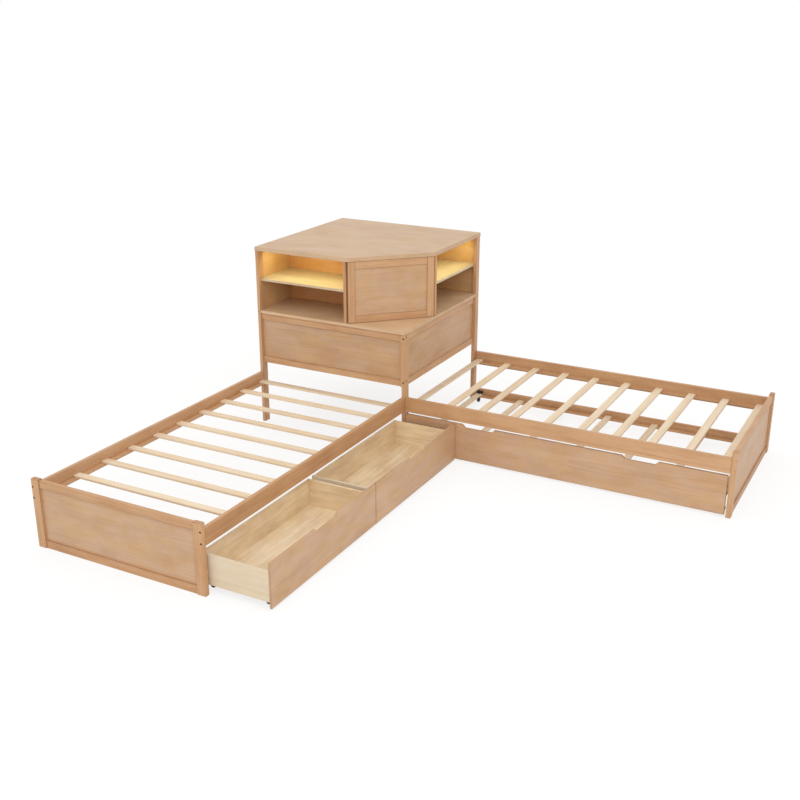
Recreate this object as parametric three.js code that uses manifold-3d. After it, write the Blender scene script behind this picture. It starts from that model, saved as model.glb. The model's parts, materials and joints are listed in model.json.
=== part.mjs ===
// An L-shaped floor bed: two twin beds that meet at right angles at a corner storage cabinet.
// The left bed has two pull-out drawers, and the right bed has a low trundle under it.
// Millimetres, +Z up. The origin is on the floor, in the middle of the outer box.
//
// The pieces are drawn in the cabinet's own frame, which the outer group then moves to that origin:
// the cabinet's footprint runs from (0, 0) to (width, width), the left bed leaves it towards -Y
// and the right bed towards +X. The near post, at (width, 0), stands in the inner corner of the L.

import * as THREE from 'three';
import { mergeVertices } from 'three/addons/utils/BufferGeometryUtils.js';
import Module from 'manifold-3d';

const wasm = await Module();
wasm.setup();

// Overall sizes
const width = 1050; // the cabinet and both beds
const bedLength = 1958; // from the cabinet to a footboard's outer face
const cabinetHeight = 1154;

// Clearances
const seat = 0.3; // between pieces that rest on or against each other
const overrun = 4; // how far a cutter passes the face that it opens
const tenon = 12; // how far joined members of one piece run into each other

// Cabinet posts
const postWidth = 22; // along X
const postDepth = 50; // along Y
const postHeadWidth = 30.5; // the near post between the outer faces, where it is thicker

// Cabinet top, with its inner corner cut off
const topThickness = 25;
const topOverhang = 3;
const cornerCut = 387; // along each side, at the door's outer face

// Deck board under the shelf bays
const deckTop = 750;
const deckThickness = 19;

// Outer faces under the deck
const faceRailThickness = 22;
const faceRailRecess = 11;
const faceTopRailHeight = 43;
const faceBottomRailHeight = 42;
const faceBottom = 406;
const facePanelThickness = 9;
const facePanelRecess = 20;
const tongue = 8; // how far a panel's edge sits in its groove

// Outer back panels
const backThickness = 12;

// Shelf bays
const dividerThickness = 18;
const dividerRecess = 2;
const dividerGap = 14; // along the front, from a divider to the cut-off corner
const backCornerGap = 41; // from a divider to the corner where the backs meet
const shelfBackThickness = 12;
const shelfThickness = 15;
const shelfRecess = 24;
const shelfDrop = 4; // of its lower face, from halfway between the deck and the top

// Light strips under the top
const lightWidth = 14;
const lightHeight = 7;
const lightRecess = 56;
const lightEndGap = 12;

// Corner door
const doorLeftGap = 3.5;
const doorRightGap = 4;
const doorTopGap = 1.5;
const doorBottomGap = 2;
const doorThickness = 20;
const doorMember = 44;
const doorPanelThickness = 8;
const doorPanelRecess = 6.5;

// Door hinges
const hingeInset = 60; // from the door's top and bottom edges
const hingeHeight = 18;
const hingePlateLength = 52;
const hingePlateThickness = 10;
const hingeArmWidth = 20;
const hingeArmSetback = 28; // from the door's hinge edge

// Footboards
const footboardThickness = 27;
const stileWidth = 51;
const stileTop = 376;
const footboardRailTop = 371;
const footboardRailHeight = 40;
const footboardBottomRail = 45;
const footboardRailRecess = 4.5;
const footboardPanelRecess = 13;
const footboardPanelThickness = 9;

// Side rails
const railThickness = 22;
const railBottom = 254.5;
const railHeight = 88.5;

// Slats of the beds
const slatCount = 10;
const slatWidth = 45;
const slatThickness = 12;
const slatTop = 295;
const slatHousing = 1; // how far slats are let into the cleats
const firstSlat = 33; // from the cabinet to the first slat's middle
const lastSlat = 46; // from the last slat's middle to the footboard
const cleatWidth = 18;
const cleatHeight = 17;

// Drawers under the left bed, drawn pulled out
const drawerCount = 2;
const drawerPulled = 340;
const drawerDepth = 394;
const drawerHeadGap = 2.5; // from the cabinet
const drawerFootGap = 13.5; // from the footboard
const drawerMiddleGap = 2;
const drawerBottomGap = 11;
const drawerTopGap = 9.5;
const drawerFrontThickness = 11;
const drawerWall = 12;
const drawerFootInset = 1; // from the front's foot end to the wall beside it
const drawerHeadInset = 33; // from the front's head end to the wall beside it
const drawerWallBottom = 42;
const drawerWallTop = 203;
const drawerBackTop = 201;
const drawerFloorRise = 7; // from the walls' bottom edges
const drawerFloorThickness = 6.5;

// Hand cut-outs in the drawer and trundle fronts
const cutoutTopWidth = 206;
const cutoutBottomWidth = 168;
const cutoutDepth = 19;

// Trundle under the right bed
const trundleEndGap = 9;
const trundleFarGap = 30; // from the bed's far side to the trundle's far rail
const trundleFrontThickness = 18;
const trundleFrontBottom = 15;
const trundleFrontTop = 241;
const trundleCutoutOffset = 483; // from the front's middle
const trundleRailThickness = 20;
const trundleRailBottom = 35;
const trundleRailTop = 91;
const trundleSlatCount = 7;
const trundleSlatWidth = 42;
const trundleSlatTop = 62;
const trundleFirstSlat = 22; // from the frame's head end
const trundleLastSlat = 25; // from the frame's foot end

// Casters
const wheelDiameter = 30;
const wheelWidth = 14;
const wheelEdge = 2.5; // rounding of the tread's edges
const axleDiameter = 6;
const axlePlay = 0.4;
const wheelPlay = 0.5;
const forkWall = 3;
const forkLength = 22;
const forkBelowAxle = 6;
const crownGap = 3; // between the wheel and the fork's crown
const drawerWheelFront = 49; // from the drawer's front face
const drawerWheelBack = 29; // from the drawer's back face
const drawerWheelInset = 50; // from the drawer side's outer face
const trundleWheelInset = 39; // from the trundle's ends
const trundleWheelSetback = 32; // from the far rail's outer face
const trundleWheelFront = 38; // from the front's outer face
const wheelSides = 32;
const axleSides = 16;

// Bed bolts, in counterbores
const boltBore = 11;
const boltDepth = 7;
const boltSides = 16;
const boltFromRailTop = 11;
const boltFromRailBottom = 18;
const boltInset = 8; // from a stile's outer edge
const postBoltFromDeck = 22; // from the deck's underside to the near post's upper bolt, on its left face
const postBoltFromFaceBottom = 29;
const postBoltStep = 8; // how much higher the bolts on its right face are, so that they miss the others
const postBoltInset = 17.5; // from the arris to the bolts on its right face

// Materials
const framePine = new THREE.MeshStandardMaterial({ color: 0xc08a55, roughness: 0.5, metalness: 0 });
const panelPine = new THREE.MeshStandardMaterial({ color: 0xc99a6f, roughness: 0.55, metalness: 0 });
const palePine = new THREE.MeshStandardMaterial({ color: 0xe0c39a, roughness: 0.7, metalness: 0 });
const blackPlastic = new THREE.MeshStandardMaterial({ color: 0x1b1b1c, roughness: 0.5, metalness: 0 });
const hingeSteel = new THREE.MeshStandardMaterial({ color: 0xb9bcc0, roughness: 0.3, metalness: 1 });
const lightDiffuser = new THREE.MeshStandardMaterial({ color: 0xffd9a0, roughness: 0.4, metalness: 0 });

// Places that several pieces share
const topUnderside = cabinetHeight - topThickness;
const deckBottom = deckTop - deckThickness;
const footboardInner = bedLength - footboardThickness;
const railTop = railBottom + railHeight;
const slatBottom = slatTop - slatThickness;
const chamferLine = width - cornerCut; // x - y along the door's outer face
const doorPlaneLength = cornerCut * Math.SQRT2;
const bayWidth = chamferLine - dividerGap - dividerThickness;
const bayDepth = cornerCut + dividerGap - backCornerGap;
const shelfBottom = (deckTop + topUnderside) / 2 - shelfDrop;
const axleHeight = wheelDiameter / 2;
const trundleDepth = width - trundleFarGap;

// A box between two corners, given as a span along each axis
function boxOf([x0, x1], [y0, y1], [z0, z1]) {
  const box = new THREE.BoxGeometry(x1 - x0, y1 - y0, z1 - z0);
  return box.translate((x0 + x1) / 2, (y0 + y1) / 2, (z0 + z1) / 2);
}

// A flat board cut to an outline in X and Y, from the height bottom upwards
function boardOf(outline, bottom, thickness) {
  const shape = new THREE.Shape(outline.map(([x, y]) => new THREE.Vector2(x, y)));
  const board = new THREE.ExtrudeGeometry(shape, { depth: thickness, bevelEnabled: false });
  return board.translate(0, 0, bottom);
}

// A cylinder round a line along X or Y
function rodOf(axis, diameter, length, sides, [x, y, z]) {
  const rod = new THREE.CylinderGeometry(diameter / 2, diameter / 2, length, sides);
  if (axis === 'x') rod.rotateZ(Math.PI / 2);
  return rod.translate(x, y, z);
}

function solidOf(geometry) {
  const bare = geometry.clone();
  bare.deleteAttribute('normal');
  bare.deleteAttribute('uv');
  const merged = mergeVertices(bare);
  return new wasm.Manifold(new wasm.Mesh({
    numProp: 3,
    vertProperties: new Float32Array(merged.attributes.position.array),
    triVerts: new Uint32Array(merged.index.array),
  }));
}

function geometryOf(solid) {
  const mesh = solid.getMesh();
  const geometry = new THREE.BufferGeometry();
  geometry.setAttribute('position', new THREE.BufferAttribute(mesh.vertProperties, mesh.numProp));
  geometry.setIndex(new THREE.BufferAttribute(mesh.triVerts, 1));
  geometry.computeVertexNormals();
  return geometry;
}

// The pieces joined into one solid, less the cutters
function joined(pieces, cutters = []) {
  let solid = solidOf(pieces[0]);
  for (const piece of pieces.slice(1)) solid = solid.add(solidOf(piece));
  for (const cutter of cutters) solid = solid.subtract(solidOf(cutter));
  return geometryOf(solid);
}

const grown = ([from, to], by = seat) => [from - by, to + by];

function place(parent, name, geometry, material) {
  const mesh = new THREE.Mesh(geometry, material);
  mesh.name = name;
  parent.add(mesh);
  return mesh;
}

// A plain board or bar: a box whose mesh stands at its own middle
function placeBox(parent, name, [x0, x1], [y0, y1], [z0, z1], material) {
  const mesh = place(parent, name, new THREE.BoxGeometry(x1 - x0, y1 - y0, z1 - z0), material);
  mesh.position.set((x0 + x1) / 2, (y0 + y1) / 2, (z0 + z1) / 2);
  return mesh;
}

// The cabinet is alike on both sides of the line through its back and near posts.
// These spans of the left side, in X and Y, become those of the right side.
const acrossCorner = ([x0, x1], [y0, y1]) => [
  [width - y1, width - y0],
  [width - x1, width - x0],
];

function addPosts(parent) {
  // The back post is carried by the panels that meet on it, and ends with them
  const tallPosts = {
    left: [0, 0, 0],
    right: [width - postWidth, width - postDepth, 0],
    back: [0, width - postDepth, faceBottom],
  };
  for (const [name, [x, y, foot]] of Object.entries(tallPosts)) {
    const z = [foot, topUnderside - seat];
    placeBox(parent, `post_${name}`, [x, x + postWidth], [y, y + postDepth], z, framePine);
  }

  // The near post ends under the deck, is thicker from the faces' lower edge up, and takes the bolts
  // of both faces that meet on it
  const top = deckBottom - seat;
  const post = [
    boxOf([width - postWidth, width], [0, postDepth], [0, top]),
    boxOf([width - postHeadWidth, width], [0, postDepth], [faceBottom, top]),
  ];
  const levels = [deckBottom - postBoltFromDeck, faceBottom + postBoltFromFaceBottom];
  const bores = levels.flatMap((z) => [
    rodOf('y', boltBore, 2 * boltDepth, boltSides, [width - postWidth / 2, 0, z]),
    rodOf('x', boltBore, 2 * boltDepth, boltSides, [width, postBoltInset, z + postBoltStep]),
  ]);
  place(parent, 'post_near', joined(post, bores), framePine);
}

// The three tall posts pass through the deck and touch the shelves
function postNotches(bottom, top) {
  const z = [bottom - overrun, top + overrun];
  return [
    boxOf([-overrun, postWidth + seat], [-overrun, postDepth + seat], z),
    boxOf([-overrun, postWidth + seat], [width - postDepth - seat, width + overrun], z),
    boxOf([width - postWidth - seat, width + overrun], [width - postDepth - seat, width + overrun], z),
  ];
}

function addDeckAndTop(parent) {
  const inside = backThickness + seat;
  const board = boxOf([inside, width], [0, width - inside], [deckBottom, deckTop]);
  place(parent, 'deck', joined([board], postNotches(deckBottom, deckTop)), framePine);

  const low = -topOverhang;
  const high = width + topOverhang;
  const outline = [
    [low, low],
    [chamferLine, low],
    [high, cornerCut],
    [high, high],
    [low, high],
  ];
  place(parent, 'cabinet_top', boardOf(outline, topUnderside, topThickness), framePine);
}

// Each outer face under the deck: two rails, and a panel in their grooves.
// alongFace turns a span along the face and a span inwards from it into spans in X and Y.
function addFace(parent, side, alongFace, run) {
  const railIn = [faceRailRecess, faceRailRecess + faceRailThickness];
  const panelIn = [facePanelRecess, facePanelRecess + facePanelThickness];
  const rails = {
    top: [deckBottom - seat - faceTopRailHeight, deckBottom - seat],
    bottom: [faceBottom, faceBottom + faceBottomRailHeight],
  };
  const panelZ = [rails.bottom[1] - tongue, rails.top[0] + tongue];
  const groove = boxOf(...alongFace(grown(run, overrun), grown(panelIn)), grown(panelZ));
  for (const [level, z] of Object.entries(rails)) {
    const rail = joined([boxOf(...alongFace(run, railIn), z)], [groove]);
    place(parent, `face_${side}_${level}_rail`, rail, framePine);
  }
  placeBox(parent, `face_${side}_panel`, ...alongFace(run, panelIn), panelZ, panelPine);
}

function addFaces(parent) {
  const leftRun = [postWidth + seat, width - postHeadWidth - seat];
  const rightRun = [postDepth + seat, width - postDepth - seat];
  addFace(parent, 'left', (run, inwards) => [run, inwards], leftRun);
  addFace(parent, 'right', (run, [near, far]) => [[width - far, width - near], run], rightRun);
}

function addBackPanels(parent) {
  const z = [faceBottom, topUnderside - seat];
  const depth = [postDepth + seat, width - postDepth - seat];
  const across = [postWidth + seat, width - postWidth - seat];
  placeBox(parent, 'back_panel_left', [0, backThickness], depth, z, panelPine);
  placeBox(parent, 'back_panel_right', across, [width - backThickness, width], z, panelPine);
}

// The open bays: a divider, a back, a shelf and a light strip on each side
function addBay(parent, side, spans) {
  const inside = backThickness + seat;
  const bayZ = [deckTop + seat, topUnderside - seat];
  const divider = spans([bayWidth, bayWidth + dividerThickness], [dividerRecess, bayDepth - seat]);
  placeBox(parent, `divider_${side}`, ...divider, bayZ, framePine);

  // The right bay's back closes the corner where the two backs meet
  const cornerEnd = width - bayDepth;
  const backEnd = side === 'left' ? cornerEnd - shelfBackThickness - seat : cornerEnd;
  const back = spans([inside, backEnd], [bayDepth, bayDepth + shelfBackThickness]);
  placeBox(parent, `shelf_back_${side}`, ...back, bayZ, panelPine);

  const shelfZ = [shelfBottom, shelfBottom + shelfThickness];
  const shelf = boxOf(...spans([inside, bayWidth - seat], [shelfRecess, bayDepth - seat]), shelfZ);
  place(parent, `shelf_${side}`, joined([shelf], postNotches(...shelfZ)), framePine);

  const run = [postDepth + lightEndGap, bayWidth - lightEndGap];
  const light = spans(run, [lightRecess, lightRecess + lightWidth]);
  const lightZ = [topUnderside - seat - lightHeight, topUnderside - seat];
  placeBox(parent, `light_strip_${side}`, ...light, lightZ, lightDiffuser);
}

function addBays(parent) {
  addBay(parent, 'left', (x, y) => [x, y]);
  addBay(parent, 'right', acrossCorner);
}

// The door's group lies along the cut-off corner: its X runs from the left bay to the right one
// and its Y points into the cupboard, with the door's outer face at Y = 0
function addDoor(parent) {
  const corner = new THREE.Group();
  corner.position.set(chamferLine, 0, 0);
  corner.rotation.z = Math.PI / 4;
  parent.add(corner);

  const x = [doorLeftGap, doorPlaneLength - doorRightGap];
  const y = [0, doorThickness];
  const z = [deckTop + doorBottomGap, topUnderside - doorTopGap];
  const windowX = [x[0] + doorMember, x[1] - doorMember];
  const windowZ = [z[0] + doorMember, z[1] - doorMember];
  const panelY = [doorPanelRecess, doorPanelRecess + doorPanelThickness];
  const panel = [grown(windowX, tongue), panelY, grown(windowZ, tongue)];
  const cutters = [
    boxOf(windowX, grown(y, overrun), windowZ),
    boxOf(...panel.map((span) => grown(span))),
  ];
  place(corner, 'door_frame', joined([boxOf(x, y, z)], cutters), framePine);
  placeBox(corner, 'door_panel', ...panel, panelPine);

  // Each hinge has a plate on the right divider and an arm to the back of the door.
  // The plate lies along the divider, so it is drawn turned back by the door's angle.
  const hingeEdge = x[1];
  const armX = [hingeEdge - hingeArmSetback - hingeArmWidth, hingeEdge - hingeArmSetback];
  const dividerFace = width - bayWidth - dividerThickness;
  const plateFace = dividerFace - seat;
  const armEnd = plateFace * Math.SQRT2 - armX[1] - seat;
  const plateMiddle = (armX[0] + armX[1] - 2 * armEnd + hingeArmWidth) / 2 / Math.SQRT2;
  const plateX = [plateMiddle - hingePlateLength / 2, plateMiddle + hingePlateLength / 2];
  const hinges = {
    upper: z[1] - hingeInset - hingeHeight,
    lower: z[0] + hingeInset,
  };
  for (const [level, bottom] of Object.entries(hinges)) {
    const hingeZ = [bottom, bottom + hingeHeight];
    const arm = boxOf(armX, [doorThickness + seat, armEnd], hingeZ);
    const plate = boxOf(plateX, [plateFace - hingePlateThickness, plateFace], hingeZ);
    plate.rotateZ(-Math.PI / 4);
    place(corner, `hinge_${level}`, joined([arm, plate]), hingeSteel);
  }
}

// A bed's group: X runs from the cabinet to the footboard, Y across the bed
function addBed(parent, side, position, turn) {
  const bed = new THREE.Group();
  bed.position.copy(position);
  bed.rotation.z = turn;
  parent.add(bed);

  const railX = [seat, footboardInner - seat];
  const railY = { near: [0, railThickness], far: [width - railThickness, width] };
  for (const [end, y] of Object.entries(railY)) {
    placeBox(bed, `bed_${side}_rail_${end}`, railX, y, [railBottom, railTop], framePine);
  }
  place(bed, `bed_${side}_slat_deck`, slatDeck(railX), palePine);
  addFootboard(bed, side);
}

function slatDeck([from, to]) {
  const y = [railThickness + seat, width - railThickness - seat];
  const cleatTop = slatBottom + slatHousing;
  const cleatZ = [cleatTop - cleatHeight, cleatTop];
  const pieces = [
    boxOf([from, to], [y[0], y[0] + cleatWidth], cleatZ),
    boxOf([from, to], [y[1] - cleatWidth, y[1]], cleatZ),
  ];
  const pitch = (footboardInner - lastSlat - firstSlat) / (slatCount - 1);
  for (let index = 0; index < slatCount; index += 1) {
    const middle = firstSlat + pitch * index;
    pieces.push(boxOf([middle - slatWidth / 2, middle + slatWidth / 2], y, [slatBottom, slatTop]));
  }
  return joined(pieces);
}

function addFootboard(bed, side) {
  const outer = bedLength;
  const railX = [footboardInner, outer - footboardRailRecess];
  const panelX = [outer - footboardPanelRecess - footboardPanelThickness, outer - footboardPanelRecess];
  const windowY = [stileWidth, width - stileWidth];
  const windowZ = [footboardBottomRail, footboardRailTop - footboardRailHeight];
  const members = [
    boxOf([footboardInner, outer], [0, stileWidth], [0, stileTop]),
    boxOf([footboardInner, outer], [width - stileWidth, width], [0, stileTop]),
    boxOf(railX, grown(windowY, tenon), [0, windowZ[0]]),
    boxOf(railX, grown(windowY, tenon), [windowZ[1], footboardRailTop]),
  ];
  const panel = [panelX, grown(windowY, tongue), grown(windowZ, tongue)];
  const levels = [railTop - boltFromRailTop, railBottom + boltFromRailBottom];
  const across = [boltInset, width - boltInset];
  const bores = levels.flatMap((z) => across.map((y) => (
    rodOf('x', boltBore, 2 * boltDepth, boltSides, [outer, y, z])
  )));
  const frame = joined(members, [boxOf(...panel.map((span) => grown(span))), ...bores]);
  place(bed, `footboard_${side}_frame`, frame, framePine);
  placeBox(bed, `footboard_${side}_panel`, ...panel, panelPine);
}

// The outline of a front, from one end to the other, with hand cut-outs in its upper edge
function frontOutline([from, to], [bottom, top], cutoutMiddles) {
  const edge = cutoutMiddles.flatMap((middle) => [
    [middle + cutoutTopWidth / 2, top],
    [middle + cutoutBottomWidth / 2, top - cutoutDepth],
    [middle - cutoutBottomWidth / 2, top - cutoutDepth],
    [middle - cutoutTopWidth / 2, top],
  ]);
  return [[from, bottom], [to, bottom], [to, top], ...edge, [from, top]];
}

// A caster's fork, drawn for an axle along Y under the height ceiling, which it runs into
function forkOf([x, y], ceiling) {
  const innerHalf = wheelWidth / 2 + wheelPlay;
  const outerHalf = innerHalf + forkWall;
  const length = [x - forkLength / 2, x + forkLength / 2];
  const crown = wheelDiameter + crownGap;
  const cheekZ = [axleHeight - forkBelowAxle, ceiling];
  const pieces = [
    boxOf(length, [y - outerHalf, y - innerHalf], cheekZ),
    boxOf(length, [y + innerHalf, y + outerHalf], cheekZ),
    rodOf('y', axleDiameter, 2 * innerHalf + forkWall, axleSides, [x, y, axleHeight]),
  ];
  if (crown < ceiling) pieces.push(boxOf(length, [y - outerHalf, y + outerHalf], [crown, ceiling]));
  return pieces;
}

// A wheel with its bore, round an axle along Y
function wheelGeometry() {
  const bore = axleDiameter / 2 + axlePlay;
  const radius = wheelDiameter / 2;
  const half = wheelWidth / 2;
  const profile = [
    [bore, -half],
    [radius - wheelEdge, -half],
    [radius, wheelEdge - half],
    [radius, half - wheelEdge],
    [radius - wheelEdge, half],
    [bore, half],
    [bore, -half],
  ];
  return new THREE.LatheGeometry(profile.map(([r, y]) => new THREE.Vector2(r, y)), wheelSides);
}

// A drawer's group stands at its front face's middle: X points out of the bed
function addDrawer(parent, name, middleY, drawerWidth) {
  const drawer = new THREE.Group();
  drawer.position.set(width + drawerPulled, middleY, 0);
  parent.add(drawer);

  const half = drawerWidth / 2;
  const frontZ = [drawerBottomGap, railBottom - drawerTopGap];
  const front = boardOf(frontOutline([-half, half], frontZ, [0]), 0, drawerFrontThickness);
  // The outline's first axis becomes Y and its second Z, and the board grows towards +X
  const upright = new THREE.Matrix4().makeBasis(
    new THREE.Vector3(0, 1, 0),
    new THREE.Vector3(0, 0, 1),
    new THREE.Vector3(1, 0, 0),
  );
  front.applyMatrix4(upright);
  place(drawer, `${name}_front`, front, panelPine).position.x = -drawerFrontThickness;

  // The walls' outer faces, and the inside between them
  const foot = drawerFootInset - half;
  const head = half - drawerHeadInset;
  const inside = [foot + drawerWall, head - drawerWall];
  const wallX = [-drawerDepth, -drawerFrontThickness - seat];
  const wallZ = [drawerWallBottom, drawerWallTop];
  placeBox(drawer, `${name}_side_foot`, wallX, [foot, inside[0]], wallZ, palePine);
  placeBox(drawer, `${name}_side_head`, wallX, [inside[1], head], wallZ, palePine);

  const between = grown(inside, -seat);
  const backX = [-drawerDepth, drawerWall - drawerDepth];
  placeBox(drawer, `${name}_back`, backX, between, [drawerWallBottom, drawerBackTop], palePine);

  const floorX = [backX[1] + seat, wallX[1]];
  const floorBottom = drawerWallBottom + drawerFloorRise;
  const floorZ = [floorBottom, floorBottom + drawerFloorThickness];
  const wheelsX = { front: -drawerWheelFront, back: drawerWheelBack - drawerDepth };
  const wheelsY = { foot: foot + drawerWheelInset, head: head - drawerWheelInset };
  const pieces = [boxOf(floorX, between, floorZ)];
  for (const [along, x] of Object.entries(wheelsX)) {
    for (const [across, y] of Object.entries(wheelsY)) {
      pieces.push(...forkOf([x, y], floorZ[0] + drawerFloorThickness / 2));
      const wheel = place(drawer, `${name}_wheel_${along}_${across}`, wheelGeometry(), blackPlastic);
      wheel.position.set(x, y, axleHeight);
    }
  }
  place(drawer, `${name}_bottom`, joined(pieces), palePine);
}

function addDrawers(parent) {
  const taken = drawerHeadGap + drawerFootGap + (drawerCount - 1) * drawerMiddleGap;
  const drawerWidth = (footboardInner - taken) / drawerCount;
  const names = ['drawer_head', 'drawer_foot'];
  names.forEach((name, index) => {
    const middle = drawerHeadGap + drawerWidth / 2 + index * (drawerWidth + drawerMiddleGap);
    addDrawer(parent, name, -middle, drawerWidth);
  });
}

// The trundle's group: X runs along the right bed from the frame's head end, Y from its front face
function addTrundle(parent) {
  const trundle = new THREE.Group();
  trundle.position.set(width + trundleEndGap, 0, 0);
  parent.add(trundle);

  const length = footboardInner - 2 * trundleEndGap;
  const frontZ = [trundleFrontBottom, trundleFrontTop];
  const middles = [length / 2 + trundleCutoutOffset, length / 2 - trundleCutoutOffset];
  const front = boardOf(frontOutline([0, length], frontZ, middles), 0, trundleFrontThickness);
  front.rotateX(Math.PI / 2);
  place(trundle, 'trundle_front', front, panelPine).position.y = trundleFrontThickness;

  const near = trundleFrontThickness + seat;
  const far = trundleDepth - trundleRailThickness;
  const railZ = [trundleRailBottom, trundleRailTop];
  const cleatTop = trundleSlatTop - slatThickness + slatHousing;
  const cleatZ = [cleatTop - cleatHeight, cleatTop];
  const pieces = [
    boxOf([0, length], [far, trundleDepth], railZ),
    boxOf([0, length], [near, near + cleatWidth], cleatZ),
    boxOf([0, length], [far - cleatWidth, far + tenon], cleatZ),
  ];
  const slatZ = [trundleSlatTop - slatThickness, trundleSlatTop];
  const slatRun = length - trundleFirstSlat - trundleLastSlat - trundleSlatWidth;
  for (let index = 0; index < trundleSlatCount; index += 1) {
    const start = trundleFirstSlat + (slatRun * index) / (trundleSlatCount - 1);
    pieces.push(boxOf([start, start + trundleSlatWidth], [near, far + slatHousing], slatZ));
  }

  // The casters' axles lie along X, so each fork is drawn along Y and turned
  const wheelsX = { head: trundleWheelInset, foot: length - trundleWheelInset };
  const wheelsY = { front: trundleWheelFront, back: trundleDepth - trundleWheelSetback };
  for (const [end, x] of Object.entries(wheelsX)) {
    for (const [row, y] of Object.entries(wheelsY)) {
      const fork = forkOf([0, 0], (cleatZ[0] + cleatZ[1]) / 2);
      pieces.push(...fork.map((piece) => piece.rotateZ(Math.PI / 2).translate(x, y, 0)));
      const wheel = place(trundle, `trundle_wheel_${row}_${end}`, wheelGeometry(), blackPlastic);
      wheel.position.set(x, y, axleHeight);
      wheel.rotation.z = Math.PI / 2;
    }
  }
  place(trundle, 'trundle_frame', joined(pieces), palePine);
}

// The cabinet's frame moves so that the origin lies under the middle of the outer box
const bed = new THREE.Group();
bed.position.set(-(width + bedLength - topOverhang) / 2, -(width + topOverhang - bedLength) / 2, 0);

addPosts(bed);
addDeckAndTop(bed);
addFaces(bed);
addBackPanels(bed);
addBays(bed);
addDoor(bed);
addBed(bed, 'left', new THREE.Vector3(0, 0, 0), -Math.PI / 2);
addBed(bed, 'right', new THREE.Vector3(width, 0, 0), 0);
addDrawers(bed);
addTrundle(bed);

export default bed;
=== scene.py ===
# An L-shaped floor bed: two twin beds that meet at a corner storage cabinet.
# Metres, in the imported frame's axes. Every board is a surface worked out with numpy.

import json
import math

import bpy
import numpy as np
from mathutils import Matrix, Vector
from mathutils.geometry import tessellate_polygon


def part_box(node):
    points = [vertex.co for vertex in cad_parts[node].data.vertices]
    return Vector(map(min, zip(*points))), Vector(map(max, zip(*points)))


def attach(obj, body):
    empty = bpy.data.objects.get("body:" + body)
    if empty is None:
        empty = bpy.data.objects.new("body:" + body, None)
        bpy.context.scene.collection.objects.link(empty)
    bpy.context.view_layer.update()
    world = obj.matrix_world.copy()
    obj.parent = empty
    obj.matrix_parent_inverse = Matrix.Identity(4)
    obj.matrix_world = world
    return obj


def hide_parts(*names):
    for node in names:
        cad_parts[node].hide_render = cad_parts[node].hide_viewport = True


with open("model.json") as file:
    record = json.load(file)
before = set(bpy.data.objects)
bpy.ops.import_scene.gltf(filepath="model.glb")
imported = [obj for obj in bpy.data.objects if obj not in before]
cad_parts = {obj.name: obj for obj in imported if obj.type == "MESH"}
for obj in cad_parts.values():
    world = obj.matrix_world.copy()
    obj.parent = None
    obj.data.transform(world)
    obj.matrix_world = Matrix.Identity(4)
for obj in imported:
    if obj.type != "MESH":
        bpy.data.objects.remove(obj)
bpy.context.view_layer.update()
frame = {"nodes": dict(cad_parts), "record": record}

# Camera, at the photograph's viewing angle
CAMERA_PLACE = (2.39876, -4.92812, 2.60218)
CAMERA_YAW = 0.49201
CAMERA_PITCH = -0.35730
CAMERA_LENS = 48.677
CAMERA_SENSOR = 36.0
CAMERA_CLIP = (0.05, 100.0)

# Boards
EASE = 0.0016  # rounding of a sawn board's edges
CORNER_SHARE = 1.3  # a plan corner's radius, as a share of the edge's rounding
ARC_STEPS = 3
WHEEL_SIDES = 40
BOLT_SIDES = 24
SCREW_SIDES = 20
TOUCH = 1e-4  # distances that count as none
SLIVER = 1e-12  # areas and sums of normals that count as none
SAME_WAY = 0.999  # directions whose cosine is above this count as one
SEAT = 0.0003  # between pieces that rest against each other
GROOVE_EDGE = 0.0006
GROOVED_EASE = 0.00048  # of a grooved rail's ends, so that it fits beside the groove's edges
TOP_CORNER = 0.004  # the cabinet top's plan corners
TOP_EASE = 0.002
SAWN = (0.012, 0.060)  # the log's pith, from a solid board
VENEER = (0.060, 0.140)  # the same for a wide panel
LOG_REACH = 20.0  # how far along the log a board may come from
SEED = 20  # of the draws that place each board in its log
OFF_CENTRE = 0.3  # how far the pith may lie off a board's middle, as a share of its width
SEAM_SHADE = 2.3  # how dark the painted shade in a seam is, as a multiple of an edge's darkening; above 1 it nears the knots' colour
SEAM_REACH = 0.003  # how far an end's edges reach along the board

# Footboards
STILE_WIDTH = 0.051
FOOT_RAIL_TOP = 0.371
FOOT_RAIL_HEIGHT = 0.040
FOOT_RAIL_RECESS = 0.0045
FOOT_BOTTOM_RAIL = 0.045
STILE_EASE = 0.002

# Slats of the beds
SLAT_COUNT = 10
SLAT_WIDTH = 0.045
SLAT_THICKNESS = 0.012
FIRST_SLAT = 0.033  # from the cabinet to the first slat's middle
LAST_SLAT = 0.046  # from the last slat's middle to the footboard
CLEAT_WIDTH = 0.018
CLEAT_HEIGHT = 0.017
SLAT_EASE = 0.0028

# Light strips
STRIP_ROUND = 0.45  # of its lower edges, as a share of its height

# Door
DOOR_MEMBER = 0.044
HINGE_PLATE = (0.050, 0.006)  # length and thickness
PLATE_EASE = 0.001
PLATE_SCREWS = (0.25, 0.75)  # shares of the plate's length
ARM_FOOT = (0.006, 0.004)  # the arm's foot, from the plate's near end and its far end
ARM_HEEL = 0.013  # how far the arm stands from the divider at the plate's far end
ARM_CREST = (0.012, 0.017)  # its bend, from the plate's near end and from the divider
ARM_TIP = ((0.004, 0.006), (0.002, 0.010))  # its end's two corners, from the node's lowest corner
ARM_HEIGHT = 0.75  # as a share of the plate's
ARM_CORNER = 0.0015
ARM_EASE = 0.0008
CUP_FROM_EDGE = 0.0215  # from the door's hinge edge to a cup's middle
CUP_GAP = 0.0002  # from the door's back
CUP_PROFILE = [(0.0175, 0.0), (0.0175, 0.0010), (0.0168, 0.0014), (0.0150, 0.0014), (0.0148, 0.0006)]
CUP_FLANGE = (0.008, 0.028, 0.0012)  # half its width, half its height, and its thickness
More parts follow.
